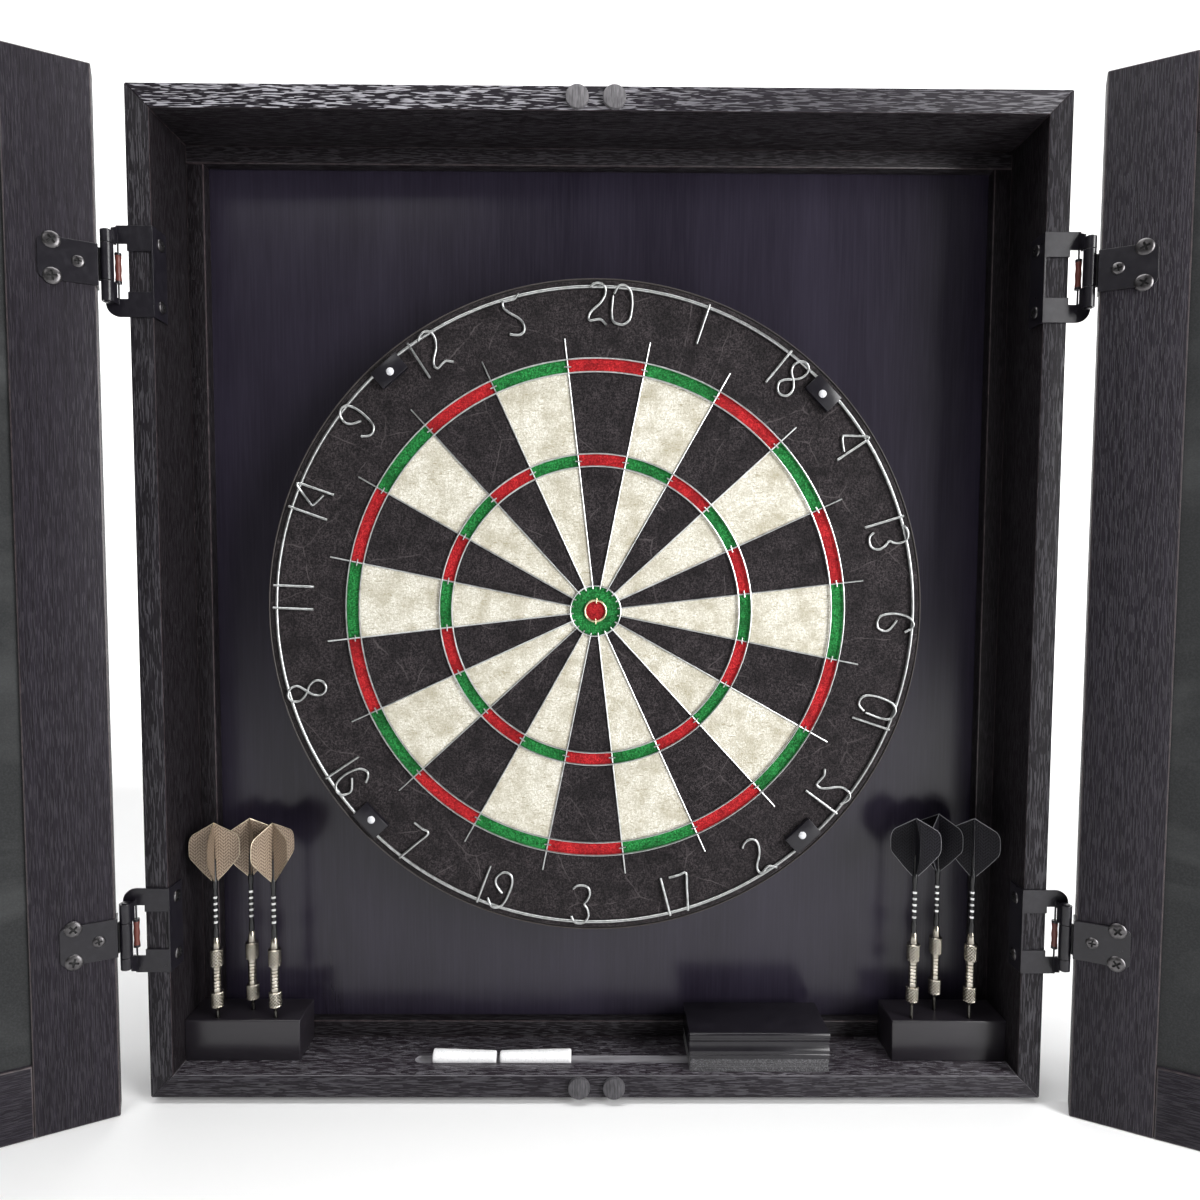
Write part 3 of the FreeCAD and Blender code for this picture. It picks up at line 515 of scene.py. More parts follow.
def painted_steel(name, color, rough=(0.4, 0.6), specular=0.5):
    """Powder-coated steel with a fine orange peel."""
    s = Shader(name, specular=specular)
    peel = s.noise(s.place, scale=1600, detail=2)
    wear = s.noise(s.place, scale=220, detail=5)
    s.ease_edges(0.5 * MM)
    shown = s.blend(wear, 0.45, 0.8, color, lighter(color, 22), 0.5)
    return s.finish(shown, (wear, *rough), (peel, 0.00005, 0.5))


def metal(name, color, rough=(0.25, 0.4), scratch_axis="Z", tarnish=None, grime_and_shade=0.0):
    """Bare or plated metal with fine scratches and a little tarnish; the dips are darkened by grime and by
    painted shade.
    """
    s = Shader(name, metallic=1.0)
    scratch = s.noise(s.stretched(along(scratch_axis, 200, 3500)), detail=3)
    patches = s.noise(s.place, scale=260)
    shown = s.blend(patches, 0.4, 0.75, color, tarnish or duller(color))
    if grime_and_shade:
        # Darkening in the dips, found from pointiness, is painted shade as well as grime.
        dips = s.add("ShaderNodeNewGeometry", {}).outputs["Pointiness"]
        shown = s.mix(s.ramp(dips, (0.44, grime_and_shade), (0.51, 0.0)), shown, (40, 36, 32))
    return s.finish(shown, (scratch, *rough), (scratch, 0.00003, 0.5))


def catch_face(name, low, high):
    """Dull grey magnet face with a wood-like lengthwise print."""
    s = Shader(name, specular=0.35)
    streak = s.noise(s.stretched(along("Z", 130, 900)))
    return s.finish(s.blend(streak, 0.35, 0.7, low, high), (streak, 0.45, 0.7), (streak, 0.00008, 0.7))


def add_cracks(s, patch, crack, color):
    """Pale hairline joints between bundles of sisal, broken up by the patches."""
    bend = s.noise(s.place, scale=30, rough=0.5, output="Color")
    warp = s.add("ShaderNodeVectorMath", {0: bend, 1: (0.012, 0.012, 0.012), 2: s.place},
                 operation="MULTIPLY_ADD").outputs[0]
    cells = s.add("ShaderNodeTexVoronoi", {"Scale": 17, "Vector": warp}, feature="DISTANCE_TO_EDGE")
    line = s.ramp(cells.outputs["Distance"], (0.0, 1.0), (0.007, 0.0))
    s.bump(line, 0.0002, -0.4)
    return s.mix(s.math("MULTIPLY", line, s.ramp(patch, (0.42, 0.0), (0.60, 0.9))), color, crack)


def sisal(name, base, fleck, shade, crack=None):
    """Compressed fibre ends: speckle and felted tufts."""
    s = Shader(name, specular=0.2, sheen=0.08)
    tuft = s.noise(s.place, scale=800, detail=8, rough=0.8)
    patch = s.noise(s.place, scale=60, detail=5, rough=0.6)
    fibre = s.noise(s.stretched((1100, 1100, 240), (0.3, 0.2, 0.7)), distortion=1.4)
    cross = s.noise(s.stretched((240, 1100, 1100), (0.2, 0.9, 0.3)), distortion=1.4)
    color = s.blend(tuft, 0.47, 0.58, base, fleck)
    color = s.blend(fibre, 0.57, 0.64, color, fleck, 0.8)
    color = s.blend(cross, 0.57, 0.64, color, shade, 0.8)
    color = s.mix(s.ramp(patch, (0.34, 0.6), (0.58, 0.0)), color, shade)
    if crack:
        color = add_cracks(s, patch, crack, color)
    return s.finish(color, (tuft, 0.75, 0.98), (tuft, 0.0006, 0.9), (fibre, 0.0003, 0.6))


def flight_film(name, base, light, shine, specular=0.5):
    """Thin film embossed with chevrons of dots; the pattern follows each wing's own layout."""
    s = Shader(name, metallic=shine, specular=specular)
    layout = s.add("ShaderNodeTexCoord", {}).outputs["UV"]
    out, down, _ = s.add("ShaderNodeSeparateXYZ", {0: layout}).outputs
    zigzag = s.math("PINGPONG", out, 3.2)
    rows = s.math("SINE", s.math("MULTIPLY", s.math("ADD", down, zigzag), 2 * math.pi / 2.3))
    dots = s.math("SINE", s.math("MULTIPLY", out, 2 * math.pi / 1.6))
    studs = s.math("MULTIPLY", s.math("ADD", rows, 1.0), s.math("ADD", dots, 1.4))
    pattern = s.ramp(studs, (0.45, 0.0), (0.95, 1.0))
    shade = s.noise(s.place, scale=60, detail=3)
    color = s.blend(shade, 0.3, 0.8, s.mix(s.math("MULTIPLY", pattern, 0.75), base, light), duller(base), 0.3)
    return s.finish(color, (shade, 0.3, 0.5), (pattern, 0.0002, 0.6))


def plastic(name, color, rough):
    """Moulded plastic with fine texture."""
    s = Shader(name)
    fine = s.noise(s.place, scale=1200, detail=3)
    soft = s.noise(s.place, scale=90)
    return s.finish(s.blend(soft, 0.3, 0.8, color, lighter(color, 10)), (soft, *rough), (fine, 0.00004, 0.5))


def felt():
    """Grey speckled felt."""
    s = Shader("felt_grey", specular=0.15, sheen=0.3)
    speck = s.noise(s.place, scale=1300, detail=5, rough=0.8)
    color = s.ramp(speck, (0.35, (30, 29, 31)), (0.52, (72, 71, 74)), (0.70, (150, 149, 152)))
    return s.finish(color, (speck, 0.85, 1.0), (speck, 0.0006, 1.0))


def chalk_white():
    """Dry white chalk with tiny pits."""
    s = Shader("chalk_white", specular=0.2)
    pit = s.noise(s.place, scale=800, detail=5)
    color = s.ramp(pit, (0.25, (222, 222, 224)), (0.5, (246, 246, 247)))
    return s.finish(color, (pit, 0.8, 0.98), (pit, 0.0002, 0.7))


def slate():
    """Matte black writing board with wiped chalk dust."""
    s = Shader("chalkboard", specular=0.3)
    wipe = s.noise(s.stretched((6, 6, 14), (0, 0.5, 0)), detail=6, distortion=0.8)
    grit = s.noise(s.place, scale=900, detail=3)
    base = s.blend(grit, 0.4, 0.75, (34, 35, 36), (58, 59, 60), 0.5)
    color = s.blend(wipe, 0.5, 0.85, base, (110, 112, 112), 0.35)
    return s.finish(color, (wipe, 0.62, 0.85), (grit, 0.0001, 0.6))


def chipboard():
    """Raw particle board on the back of the dart board."""
    s = Shader("board_backing", specular=0.2)
    chips = s.add("ShaderNodeTexVoronoi", {"Scale": 240, "Vector": s.place}).outputs["Color"]
    tone = s.noise(s.place, scale=420)
    base = s.blend(chips, 0.1, 0.9, (120, 92, 62), (176, 146, 106))
    return s.finish(s.blend(tone, 0.3, 0.8, base, (92, 70, 48), 0.6), (tone, 0.75, 0.95), (tone, 0.0003, 0.8))


def door_oak(name, axis):
    """The doors' oak, with finer grain."""
    return oak(name, axis, 0.05, (24, 20, 26), (42, 38, 46), dashes=(90, 1700), specular=0.18)


M = {
    # One black oak in lit and shaded copies: the front faces carry painted glints, strongest on the top rail;
    # the shelf's lighter copy is a painted highlight; the inside boards' darker copies are painted shade.
    "front_top": oak("black_oak_front_top", "X", 0.95, (22, 18, 24), (40, 36, 44), (206, 204, 212),
                     dashes=(95, 1250), glint_fades_right=True),
    "front_low": oak("black_oak_front_low", "X", 0.10),
    "front_z": oak("black_oak_front_stile", "Z", 0.10, (13, 10, 14), (27, 23, 30)),
    "oak_x": oak("black_oak_lengthwise_x", "X", 0.07, (13, 9, 12), (26, 20, 25), gloss=(0.6, 0.5)),
    "oak_z": oak("black_oak_lengthwise_z", "Z", 0.03, (10, 6, 9), (22, 16, 21), gloss=(0.6, 0.5)),
    "shelf": oak("black_oak_shelf", "X", 0.28, (30, 24, 29), (52, 46, 53), gloss=(0.32, 0.18), specular=0.6),
    "oak_door": door_oak("black_oak_door", "Z"),
    "oak_rail": door_oak("black_oak_door_rail", "X"),
    "edge": worn_edge(),
    # Lighter groove finish: chalk dust and a painted highlight.
    "groove": dusty_groove(),
    "panel": panel_black(),
    "block": lacquer("block_black"),
    # Near-black lacquer copy for the dart holes: painted shade in the holes.
    "hole": lacquer("block_hole_shade", (10, 9, 10), (0.6, 0.8)),
    "steel": painted_steel("black_steel", (22, 20, 26), (0.24, 0.36), 0.45),
    "screw": metal("screw_nickel", (104, 102, 103), (0.28, 0.42), "X", (62, 60, 62)),
    # Near-black copy for the Phillips recesses: painted shade inside the screw heads.
    "recess": painted_steel("screw_recess_shade", (12, 11, 12), (0.5, 0.7)),
    "magnet_top": catch_face("magnet_grey", (82, 80, 83), (124, 122, 125)),
    # Darker copy of the magnet grey: painted shade for the lower discs and the door strikes.
    "magnet_low": catch_face("magnet_grey_shaded", (56, 55, 58), (92, 90, 94)),
    "nylon": plastic("nylon_brown", (96, 46, 38), (0.3, 0.45)),
    "zinc": metal("hanger_steel", (178, 178, 176), (0.25, 0.45)),
    "black": sisal("sisal_black", (17, 13, 16), (66, 60, 62), (9, 6, 8), (90, 84, 85)),
    "cream": sisal("sisal_cream", (206, 201, 184), (243, 241, 232), (160, 151, 124)),
    "red": sisal("sisal_red", (150, 8, 20), (214, 50, 54), (96, 4, 12)),
    "green": sisal("sisal_green", (4, 90, 32), (52, 156, 80), (2, 52, 18)),
    "chipboard": chipboard(),
    "rim": painted_steel("rim_steel", (20, 18, 20)),
    "rim_edge": painted_steel("rim_steel_edge", (58, 52, 50)),
    "wire": metal("wire_silver", (202, 204, 204), (0.22, 0.38), tarnish=(158, 160, 158)),
    "bull_wire": metal("bull_wire", (222, 208, 170)),
    "rivet": plastic("rivet_white", (205, 206, 210), (0.2, 0.35)),
    "slate": slate(),
    "barrel": metal("barrel_nickel", (214, 208, 196), (0.16, 0.26), tarnish=(156, 148, 130), grime_and_shade=0.9),
    # Dark knurl finish: painted shade in the knurl's grooves.
    "knurl": metal("barrel_knurl_painted_shade", (74, 69, 60), (0.3, 0.45)),
    "point": metal("point_dark", (90, 88, 84)),
    "shaft": plastic("shaft_black", (16, 16, 18), (0.18, 0.3)),
    "shaft_ring": metal("shaft_ring", (232, 232, 232), (0.15, 0.3)),
    "bronze": flight_film("flight_bronze", (106, 88, 72), (180, 162, 142), 0.2),
    "bronze_edge": metal("flight_bronze_edge", (220, 206, 180), (0.3, 0.45)),
    "film": flight_film("flight_black", (4, 3, 6), (38, 37, 43), 0.0, 0.14),
    "film_edge": painted_steel("flight_black_edge", (118, 118, 122), (0.3, 0.45)),
    "chalk": chalk_white(),
    "eraser": plastic("eraser_black", (22, 20, 25), (0.2, 0.3)),
    "felt": felt(),
}


# ---- cabinet

def mitred_board(name, node, axis, wood, edge="edge", cuts=None):
    """One side of the box with 45-degree ends; axis is the way the board runs."""
    low, high = corners(node)
    if axis == "X":
        out, back = (high.z, high.z - BOARD_T) if high.z > 0 else (low.z, low.z + BOARD_T)
        outline = [(low.x, out), (high.x, out), (high.x - BOARD_T, back), (low.x + BOARD_T, back)]
        front = "front_top" if high.z > 0 else "front_low"
    else:
        out, back = (high.x, high.x - BOARD_T) if high.x > 0 else (low.x, low.x + BOARD_T)
        outline = [(out, low.z), (out, high.z), (back, high.z - BOARD_T), (back, low.z + BOARD_T)]
        front = "front_z"
    bm = bmesh.new()
    points = [Vector((x, low.y, z)) for x, z in outline]
    add_prism(bm, points, Vector((0, high.y - low.y, 0)), edge_material=1)
    tidy_normals(bm)
    # Front faces take the lit copy of the oak with its painted glint.
    for face in bm.faces:
        if face.normal.y < -0.9:
            face.material_index = 2
    piece(name, bm, (wood, edge, front), "cabinet", "black_oak", node, cuts=cuts)


def groove_cutter():
    """The chalk groove as a solid: a bar with ball ends."""
    low, _ = corners("bottom_board")
    radius = (GROOVE_HALF_W ** 2 + GROOVE_DEPTH ** 2) / (2 * GROOVE_DEPTH)
    centre = Vector((0, low.y + GROOVE_FROM_FRONT, low.z + BOARD_T + radius - GROOVE_DEPTH))
    half = GROOVE_HALF_L - GROOVE_HALF_W
    angles = [math.pi / 2 * step / 8 for step in range(9)]
    profile = [(radius * math.sin(a), -half - radius * math.cos(a)) for a in angles]
    profile += [(r, -h) for r, h in reversed(profile)]
    bm = bmesh.new()
    add_lathe(bm, profile, Matrix.Translation(centre) @ Matrix.Rotation(math.pi / 2, 4, "Y"), 48)
    return bm


def build_cleats():
    """Two rails and two stiles round the edge of the back panel, each with its own grain."""
    low, high = corners("back_cleats")
    rails, stiles = bmesh.new(), bmesh.new()
    for z0, z1 in ((low.z, low.z + CLEAT_W), (high.z - CLEAT_W, high.z)):
        add_box(rails, (low.x, low.y, z0), (high.x, high.y, z1), edge_material=1)
    for x0, x1 in ((low.x, low.x + CLEAT_W), (high.x - CLEAT_W, high.x)):
        add_box(stiles, (x0, low.y, low.z + CLEAT_W), (x1, high.y, high.z - CLEAT_W), edge_material=1)
    for part, bm, wood in (("rails", rails, "oak_x"), ("stiles", stiles, "oak_z")):
        piece("back_cleat_" + part, bm, (wood, "edge"), "cabinet", "black_oak", "back_cleats")


def build_magnets():
    """Four catch discs with softened rims; the lower pair takes a darker copy of the grey as painted shade.
    """
    bm = bmesh.new()
    for low, high in solid_boxes("catch_magnets"):
        radius, depth = (high.x - low.x) / 2, high.y - low.y
        middle = (low + high) / 2
        finish = 0 if middle.z > 0 else 1
        profile = [(0, 0), (radius - MAGNET_RIM, 0), (radius - MAGNET_RIM * 0.3, MAGNET_RIM * 0.3),
                   (radius, MAGNET_RIM), (radius, depth), (0, depth)]
        place = facing_front(middle.x, low.y, middle.z)
        add_lathe(bm, profile, place, 48, material_at=lambda index, f=finish: f)
    finishes = ("magnet_top", "magnet_low")
    piece("catch_magnets_rounded", bm, finishes, "cabinet", "magnet_grey", "catch_magnets")


def build_block(name):
    """Dart block with softened edges and its three holes."""
    node = name + "_dart_block"
    low, high = corners(node)
    bm, holes = bmesh.new(), bmesh.new()
    add_box(bm, low, high, BIG_BEVEL, 3)
    for number in (1, 2, 3):
        tip_low, tip_high = corners(f"{name}_dart_{number}_barrel")
        middle = (tip_low + tip_high) / 2
        top = high.z - tip_low.z + 5 * MM
        place = Matrix.Translation((middle.x, middle.y, tip_low.z - 0.1 * MM))
        add_lathe(holes, [(0, 0), (DART_HOLE_R, 0), (DART_HOLE_R, top), (0, top)], place, 24)
    # The holes' walls take the near-black hole finish: painted shade.
    piece(node + "_rounded", bm, ("block", "hole"), "cabinet", "block_black", node, cuts=holes)


def build_cabinet():
    """Boards, cleats, blocks and catch discs."""
    mitred_board("top_board_rounded", "top_board", "X", "oak_x")
    # The bottom board's groove and eased edges take the lighter groove finish, which is partly painted
    # highlight.
    mitred_board("bottom_board_rounded", "bottom_board", "X", "shelf", "groove", groove_cutter())
    for name, _ in SIDES:
        mitred_board(name + "_side_rounded", name + "_side_board", "Z", "oak_z")
    build_cleats()
    build_magnets()
    for name, _ in SIDES:
        build_block(name)


# ---- doors

def door_swing(name):
    """The turn of a door about its hinge from shut to the stored pose."""
    joint = next(j for j in frame["joints"] if j["name"] == name + "_door_hinge")
    place = Vector(joint["pos_m"])
    turn = math.radians(joint["range_deg"][1]) * joint["axis"][2]
    return Matrix.Translation(place) @ Matrix.Rotation(-turn, 4, "Z") @ Matrix.Translation(-place)


def shut_box(node, swing):
    """A door node's box as it is when the door is shut."""
    back = swing.inverted()
    return box_of([back @ v.co for v in frame["nodes"][node].data.vertices])


def build_knob(name, swing):
    """Turned knob with a flared foot and a domed face."""
    node = name + "_door_knob"
    low, high = shut_box(node, swing)
    radius = (high.x - low.x) / 2
    reach = shut_box(name + "_door_frame", swing)[0].y - low.y
    foot, neck = radius * 0.64, radius * 0.42
    profile = [(0, 0), (foot, 0), (foot, 1.2 * MM), (foot * 0.92, 2.0 * MM), (neck, 4.0 * MM),
               (neck, 9.5 * MM)]
    for step in range(13):
        angle = -math.pi / 3 + (math.pi / 2 + math.pi / 3) * step / 12
        rise = (reach - KNOB_NECK_L) * math.sin(angle)
        profile.append((radius * max(0.0, math.cos(angle)), KNOB_NECK_L + rise))
    centre = Vector(((low.x + high.x) / 2, low.y + reach, (low.z + high.z) / 2))
    bm = bmesh.new()
    add_lathe(bm, profile, Matrix.Translation(centre) @ Matrix.Rotation(math.pi / 2, 4, "X"), 64)
    piece(node + "_turned", bm, ("steel",), name + "_door", "black_steel", node, swing=swing)


def build_door(name):
    """Rounded stiles and rails, and a turned knob."""
    swing = door_swing(name)
    node = name + "_door_frame"
    low, high = shut_box(node, swing)
    hole_low, hole_high = shut_box(name + "_chalkboard", swing)
    stiles, rails = bmesh.new(), bmesh.new()
    for x0, x1 in ((low.x, hole_low.x), (hole_high.x, high.x)):
        add_box(stiles, (x0, low.y, low.z), (x1, high.y, high.z), BIG_BEVEL, edge_material=1)
    for z0, z1 in ((low.z, hole_low.z), (hole_high.z, high.z)):
        add_box(rails, (hole_low.x, low.y, z0), (hole_high.x, high.y, z1), BIG_BEVEL, edge_material=1)
    for part, bm, wood in (("stiles", stiles, "oak_door"), ("rails", rails, "oak_rail")):
        piece(f"{name}_door_{part}", bm, (wood, "edge"), name + "_door", "black_oak", node, swing=swing)
    build_knob(name, swing)


# ---- hinges

def facing(direction):
    """The turn that sets a turned shape's own axis along a direction."""
    return direction.to_track_quat("Z", "Y").to_matrix().to_4x4()


def add_screw(heads, crosses, seat, outward, radius):
    """Domed head with a Phillips recess; the recess goes to a second mesh that is cut out later."""
    turn = random.uniform(0, math.pi / 2)
    place = Matrix.Translation(seat) @ facing(outward) @ Matrix.Rotation(turn, 4, "Z")
    add_lathe(heads, [(0, 0)] + [(r * radius, h * SCREW_HEAD_H) for r, h in SCREW_DOME], place, 36)
    half, slot, floor = radius * 0.55, radius * 0.13, SCREW_HEAD_H * 0.25
    outline = []
    for quarter in range(4):
        turned = place @ Matrix.Rotation(quarter * math.pi / 2, 4, "Z")
        outline += [turned @ Vector((x, y, floor)) for x, y in ((slot, slot), (slot, half), (-slot, half))]
    add_prism(crosses, outline, place.to_3x3() @ Vector((0, 0, SCREW_HEAD_H)), 0)


def thread_profile(length):
    """Screw thread as stacked ridges that end in a point."""
    profile = [(0, 0), (1.5 * MM, 0)]
    height = 1.0 * MM
    while height < length - 3 * MM:
        profile += [(1.15 * MM, height), (1.6 * MM, height + 0.4 * MM)]
        height += 0.8 * MM
    return profile + [(1.1 * MM, length - 2.5 * MM), (0.1 * MM, length), (0, length)]


def build_screws(node, body, axis, swing=None):
    """Stand-ins for one node's screws; those through the wings (axis 0) face the inside, heads only."""
    heads, cuts, shanks = bmesh.new(), bmesh.new(), bmesh.new()
    for low, high in solid_boxes(node, swing.inverted() if swing else None):
        middle = (low + high) / 2
        way = -1 if axis == 0 and middle.x > 0 else 1
        outward = way * (X_AXIS, Y_AXIS)[axis]
        seat = middle.copy()
        seat[axis] = (high if way > 0 else low)[axis] - way * SCREW_HEAD_H
        add_screw(heads, cuts, seat, outward, (high.z - low.z) / 2)
        threads = thread_profile(high[axis] - low[axis] - SCREW_HEAD_H)
        add_lathe(shanks, threads, Matrix.Translation(seat) @ facing(-outward), 20)
    # The cut recess faces take the near-black recess finish: painted shade.
    piece(node + "_domed", heads, ("screw", "recess"), body, "screw_nickel", node, swing=swing, cuts=cuts)
    if axis != 0:
        piece(node + "_threads", shanks, ("screw",), body, "screw_nickel", node, swing=swing)


def build_rollers():
    """Nylon rollers with worn waists between steel end cups."""
    bm = bmesh.new()
    for low, high in solid_boxes("hinge_rollers"):
        middle = (low + high) / 2
        radius, length, cup = (high.x - low.x) / 2, high.z - low.z, ROLLER_CUP
        profile = [(0, 0), (radius, 0), (radius, cup), (radius * 0.86, cup), (radius * 0.97, cup + 0.8 * MM)]
        for step in range(2, 11):
            share = 0.90 + 0.07 * math.cos(step * math.pi / 3)
            profile.append((radius * share, cup + (length - 2 * cup) * step / 12))
        profile += [(radius * 0.97, length - cup - 0.8 * MM), (radius * 0.86, length - cup),
                    (radius, length - cup), (radius, length), (0, length)]
        last = len(profile) - 1
        place = Matrix.Translation((middle.x, middle.y, low.z))
        add_lathe(bm, profile, place, 28, material_at=lambda index: 1 if index < 3 or index > last - 4 else 0)
    piece("hinge_rollers_worn", bm, ("nylon", "steel"), "cabinet", "nylon_brown", "hinge_rollers")


def build_leg_webs():
    """Sloped web that carries each wing's near leg up to the strap's end."""
    bm = bmesh.new()
    for _, side in SIDES:
        for level, way in HINGE_LEVELS:
            points = [Vector((side * LEG_X[0], y, level + way * z)) for y, z in LEG_WEB]
            add_prism(bm, points, Vector((side * (LEG_X[1] - LEG_X[0]), 0, 0)), 0.25 * MM)
    piece("hinge_leg_webs", bm, ("steel",), "cabinet", "black_steel")


def build_hinges():
    """Rollers, webs and screws."""
    build_rollers()
    build_leg_webs()
    build_screws("frame_wing_screws", "cabinet", 0)
    for name, _ in SIDES:
        build_screws(name + "_leaf_screws", name + "_door", 1, door_swing(name))


# ---- dart board

disc_low, disc_high = corners("sisal_disc")
CENTRE = (disc_low + disc_high) / 2
FACE_Y = disc_low.y
DISC_BACK_Y = disc_high.y
DISC_R = (disc_high.x - disc_low.x) / 2


def spot(radius, angle, y):
    """A point on the board; the angle runs clockwise from the top and includes the hang."""
    a = angle + BOARD_TURN
    return Vector((CENTRE.x + radius * math.sin(a), y, CENTRE.z + radius * math.cos(a)))


def dye(band, sector):
    """Which dye a sector has in a band: 0 black, 1 cream, 2 red, 3 green."""
    plain = {"border": 0, "bull": 2, "outer_bull": 3}
    return plain.get(band, sector % 2 + (2 if band in ("treble", "double") else 0))


def build_sisal():
    """The board's face as dyed sectors with a felted, slightly uneven surface, and its side and back."""
    bands = (
        ("bull", 0.0, INNER_BULL_R, 2), ("outer_bull", INNER_BULL_R, OUTER_BULL_R, 3),
        ("inner", OUTER_BULL_R, TREBLE_IN_R, 20), ("treble", TREBLE_IN_R, TREBLE_OUT_R, 3),
        ("outer", TREBLE_OUT_R, DOUBLE_IN_R, 14), ("double", DOUBLE_IN_R, DOUBLE_OUT_R, 3),
        ("border", DOUBLE_OUT_R, DISC_R - EDGE_ROUND, 12),
    )
    rows = []
    for band, inner, outer, count in bands:
        rows += [(band, inner + (outer - inner) * row / count) for row in range(count)]
    rows.append(("border", DISC_R - EDGE_ROUND))
    sides = SECTORS * STEPS_PER_SECTOR
    angles = [2 * math.pi * (step - STEPS_PER_SECTOR / 2) / sides for step in range(sides)]
    bm = bmesh.new()
    rings = []
    for _, radius in rows:
        shown = angles if radius else angles[:1]
        rings.append([bm.verts.new(spot(radius, a, FACE_Y + random.uniform(0, 1) * FELTING)) for a in shown])
    for y in (FACE_Y + EDGE_ROUND, DISC_BACK_Y):
        rings.append([bm.verts.new(spot(DISC_R, a, y)) for a in angles])
    labels = [band for band, _ in rows] + ["border"]
    for band, low, high in zip(labels, rings, rings[1:]):
        for step in range(sides):
            after = (step + 1) % sides
            loop = (low[step % len(low)], low[after % len(low)], high[after], high[step])
            face = bm.faces.new(list(dict.fromkeys(loop)))
            face.material_index = dye(band, step // STEPS_PER_SECTOR)
    bm.faces.new(rings[-1])
    piece("sisal_face", bm, ("black", "cream", "red", "green"), "dartboard", "sisal", "sisal_disc")


def build_rim():
    """Thin steel band round the board with a rolled bright front edge."""
    low, high = corners("rim_band")
    radius, depth = (high.x - low.x) / 2, high.y - low.y
    wall = radius - DISC_R
    profile = [(DISC_R, depth), (radius, depth), (radius, 0.5 * MM), (radius - wall * 0.25, 0.1 * MM),
               (radius - wall * 0.6, 0.0), (DISC_R, 0.35 * MM), (DISC_R, depth)]
    bm = bmesh.new()
    place = facing_front(CENTRE.x, low.y, CENTRE.z)
    add_lathe(bm, profile, place, 256, material_at=lambda index: 1 if index in (3, 4) else 0)
    piece("rim_band_rolled", bm, ("rim", "rim_edge"), "dartboard", "rim_steel", "rim_band")


def ring_path(radius, y, steps=240):
    """Points round a circle on the board."""
    return [spot(radius, 2 * math.pi * s / steps, y) for s in range(steps)]


def build_spider():
    """Rings and spokes, the staples that pin them and the ticks round the bull."""
    bm = bmesh.new()
    spoke_y = FACE_Y - WIRE_R * 0.8
    ring_y = FACE_Y - WIRE_R * 2.1
    staple_y = spoke_y - WIRE_R
    for radius in (DOUBLE_OUT_R, DOUBLE_IN_R, TREBLE_OUT_R, TREBLE_IN_R, OUTER_BULL_R):
        add_tube(bm, ring_path(radius, ring_y), WIRE_R, closed=True)
    for sector in range(SECTORS):
        angle = 2 * math.pi * (sector + 0.5) / SECTORS
        add_tube(bm, [spot(r, angle, spoke_y) for r in (OUTER_BULL_R, SPOKE_END_R)], WIRE_R * 0.9)
        add_tube(bm, [spot(r, angle, ring_y) for r in TICK_ENDS_R], TICK_WIRE_R)
        for radius in STAPLES_R:
            half = STAPLE_HALF_L / radius
            start = spot(radius, angle - half, staple_y)
            end = spot(radius + random.uniform(-0.6, 0.6) * MM, angle + half, staple_y)
            add_tube(bm, [start, end], STAPLE_WIRE_R)
    piece("wire_spider_round", bm, ("wire",), "dartboard", "wire_silver", "wire_spider")
    bull = bmesh.new()
    add_tube(bull, ring_path(INNER_BULL_R, FACE_Y - 0.7 * MM, 96), BULL_WIRE_R, closed=True)
    for angle in (0.06, math.pi - 0.05):
        add_tube(bull, [spot(r * MM, angle, FACE_Y - 1.2 * MM) for r in (5.2, 9.0)], STAPLE_WIRE_R)
    piece("bull_ring_wire", bull, ("bull_wire",), "dartboard", "wire_silver")


# Digits as bent wire, in hundredths of their height, with x from the digit's middle.
DIGITS = {
    "0": ((-25, 74), (-26, 32), (-21, 10), (-6, 3), (8, 4), (21, 16), (25, 40), (25, 64), (19, 88),
          (4, 100), (-12, 97), (-22, 80)),
    "1": ((1, 0), (0, 102)),
    "2": ((-22, 92), (-12, 100), (4, 102), (18, 93), (18, 75), (7, 54), (-14, 33), (-21, 18), (-16, 9),
          (2, 13), (13, 12), (26, 0)),
    "3": ((-28, 92), (-18, 100), (-4, 102), (12, 97), (18, 80), (12, 62), (5, 52), (14, 38), (18, 20),
          (8, 4), (-8, 1), (-20, 5), (-28, 18)),
    "4": ((10, 30), (-12, 40), (-23, 47), (-22, 55), (-5, 80), (8, 97), (15, 101), (18, 92), (19, 50),
          (20, 4)),
    "5": ((28, 99), (14, 90), (-4, 90), (-17, 90), (-19, 76), (-8, 60), (10, 42), (18, 26), (16, 8),
          (4, 0), (-8, 2), (-22, 8)),
    "6": ((20, 79), (10, 93), (-2, 98), (-18, 88), (-26, 66), (-27, 38), (-20, 13), (-4, 4), (12, 8),
          (19, 24), (16, 36), (4, 46), (-10, 55)),
    "7": ((-26, 97), (0, 97), (21, 97), (14, 58), (2, 0)),
    "8": ((2, 50), (-13, 62), (-20, 80), (-12, 96), (2, 101), (15, 95), (20, 80), (14, 62), (0, 48),
          (-15, 34), (-20, 20), (-12, 5), (2, 0), (16, 6), (21, 20), (16, 35), (4, 49)),
    "9": ((7, 43), (-10, 54), (-20, 66), (-21, 80), (-12, 95), (2, 100), (16, 93), (24, 72), (24, 38),
          (18, 12), (4, 2), (-10, 4), (-24, 18)),
}
# Where the digits of a number sit across, in digit heights
DIGIT_PLACES = {"20": (-0.30, 0.34), "11": (-0.29, 0.30)}


def digit_points(stroke, shift, angle, outward_reading):
    """Board points of one stroke; its top end rides up over the number ring."""
    points = []
    for x, height in stroke:
        across = (x + shift) * NUMBER_HEIGHT * (-1 if outward_reading else 1)
        level = 1 - height if outward_reading else height
        radius = NUMBER_TOP_R - NUMBER_HEIGHT * (1 - level)
        y = FACE_Y - NUMBER_RING_WIRE_R - max(0.0, level - 0.8) * 9 * MM
        points.append(spot(math.hypot(across, radius), angle + math.atan2(across, radius), y))
    return points


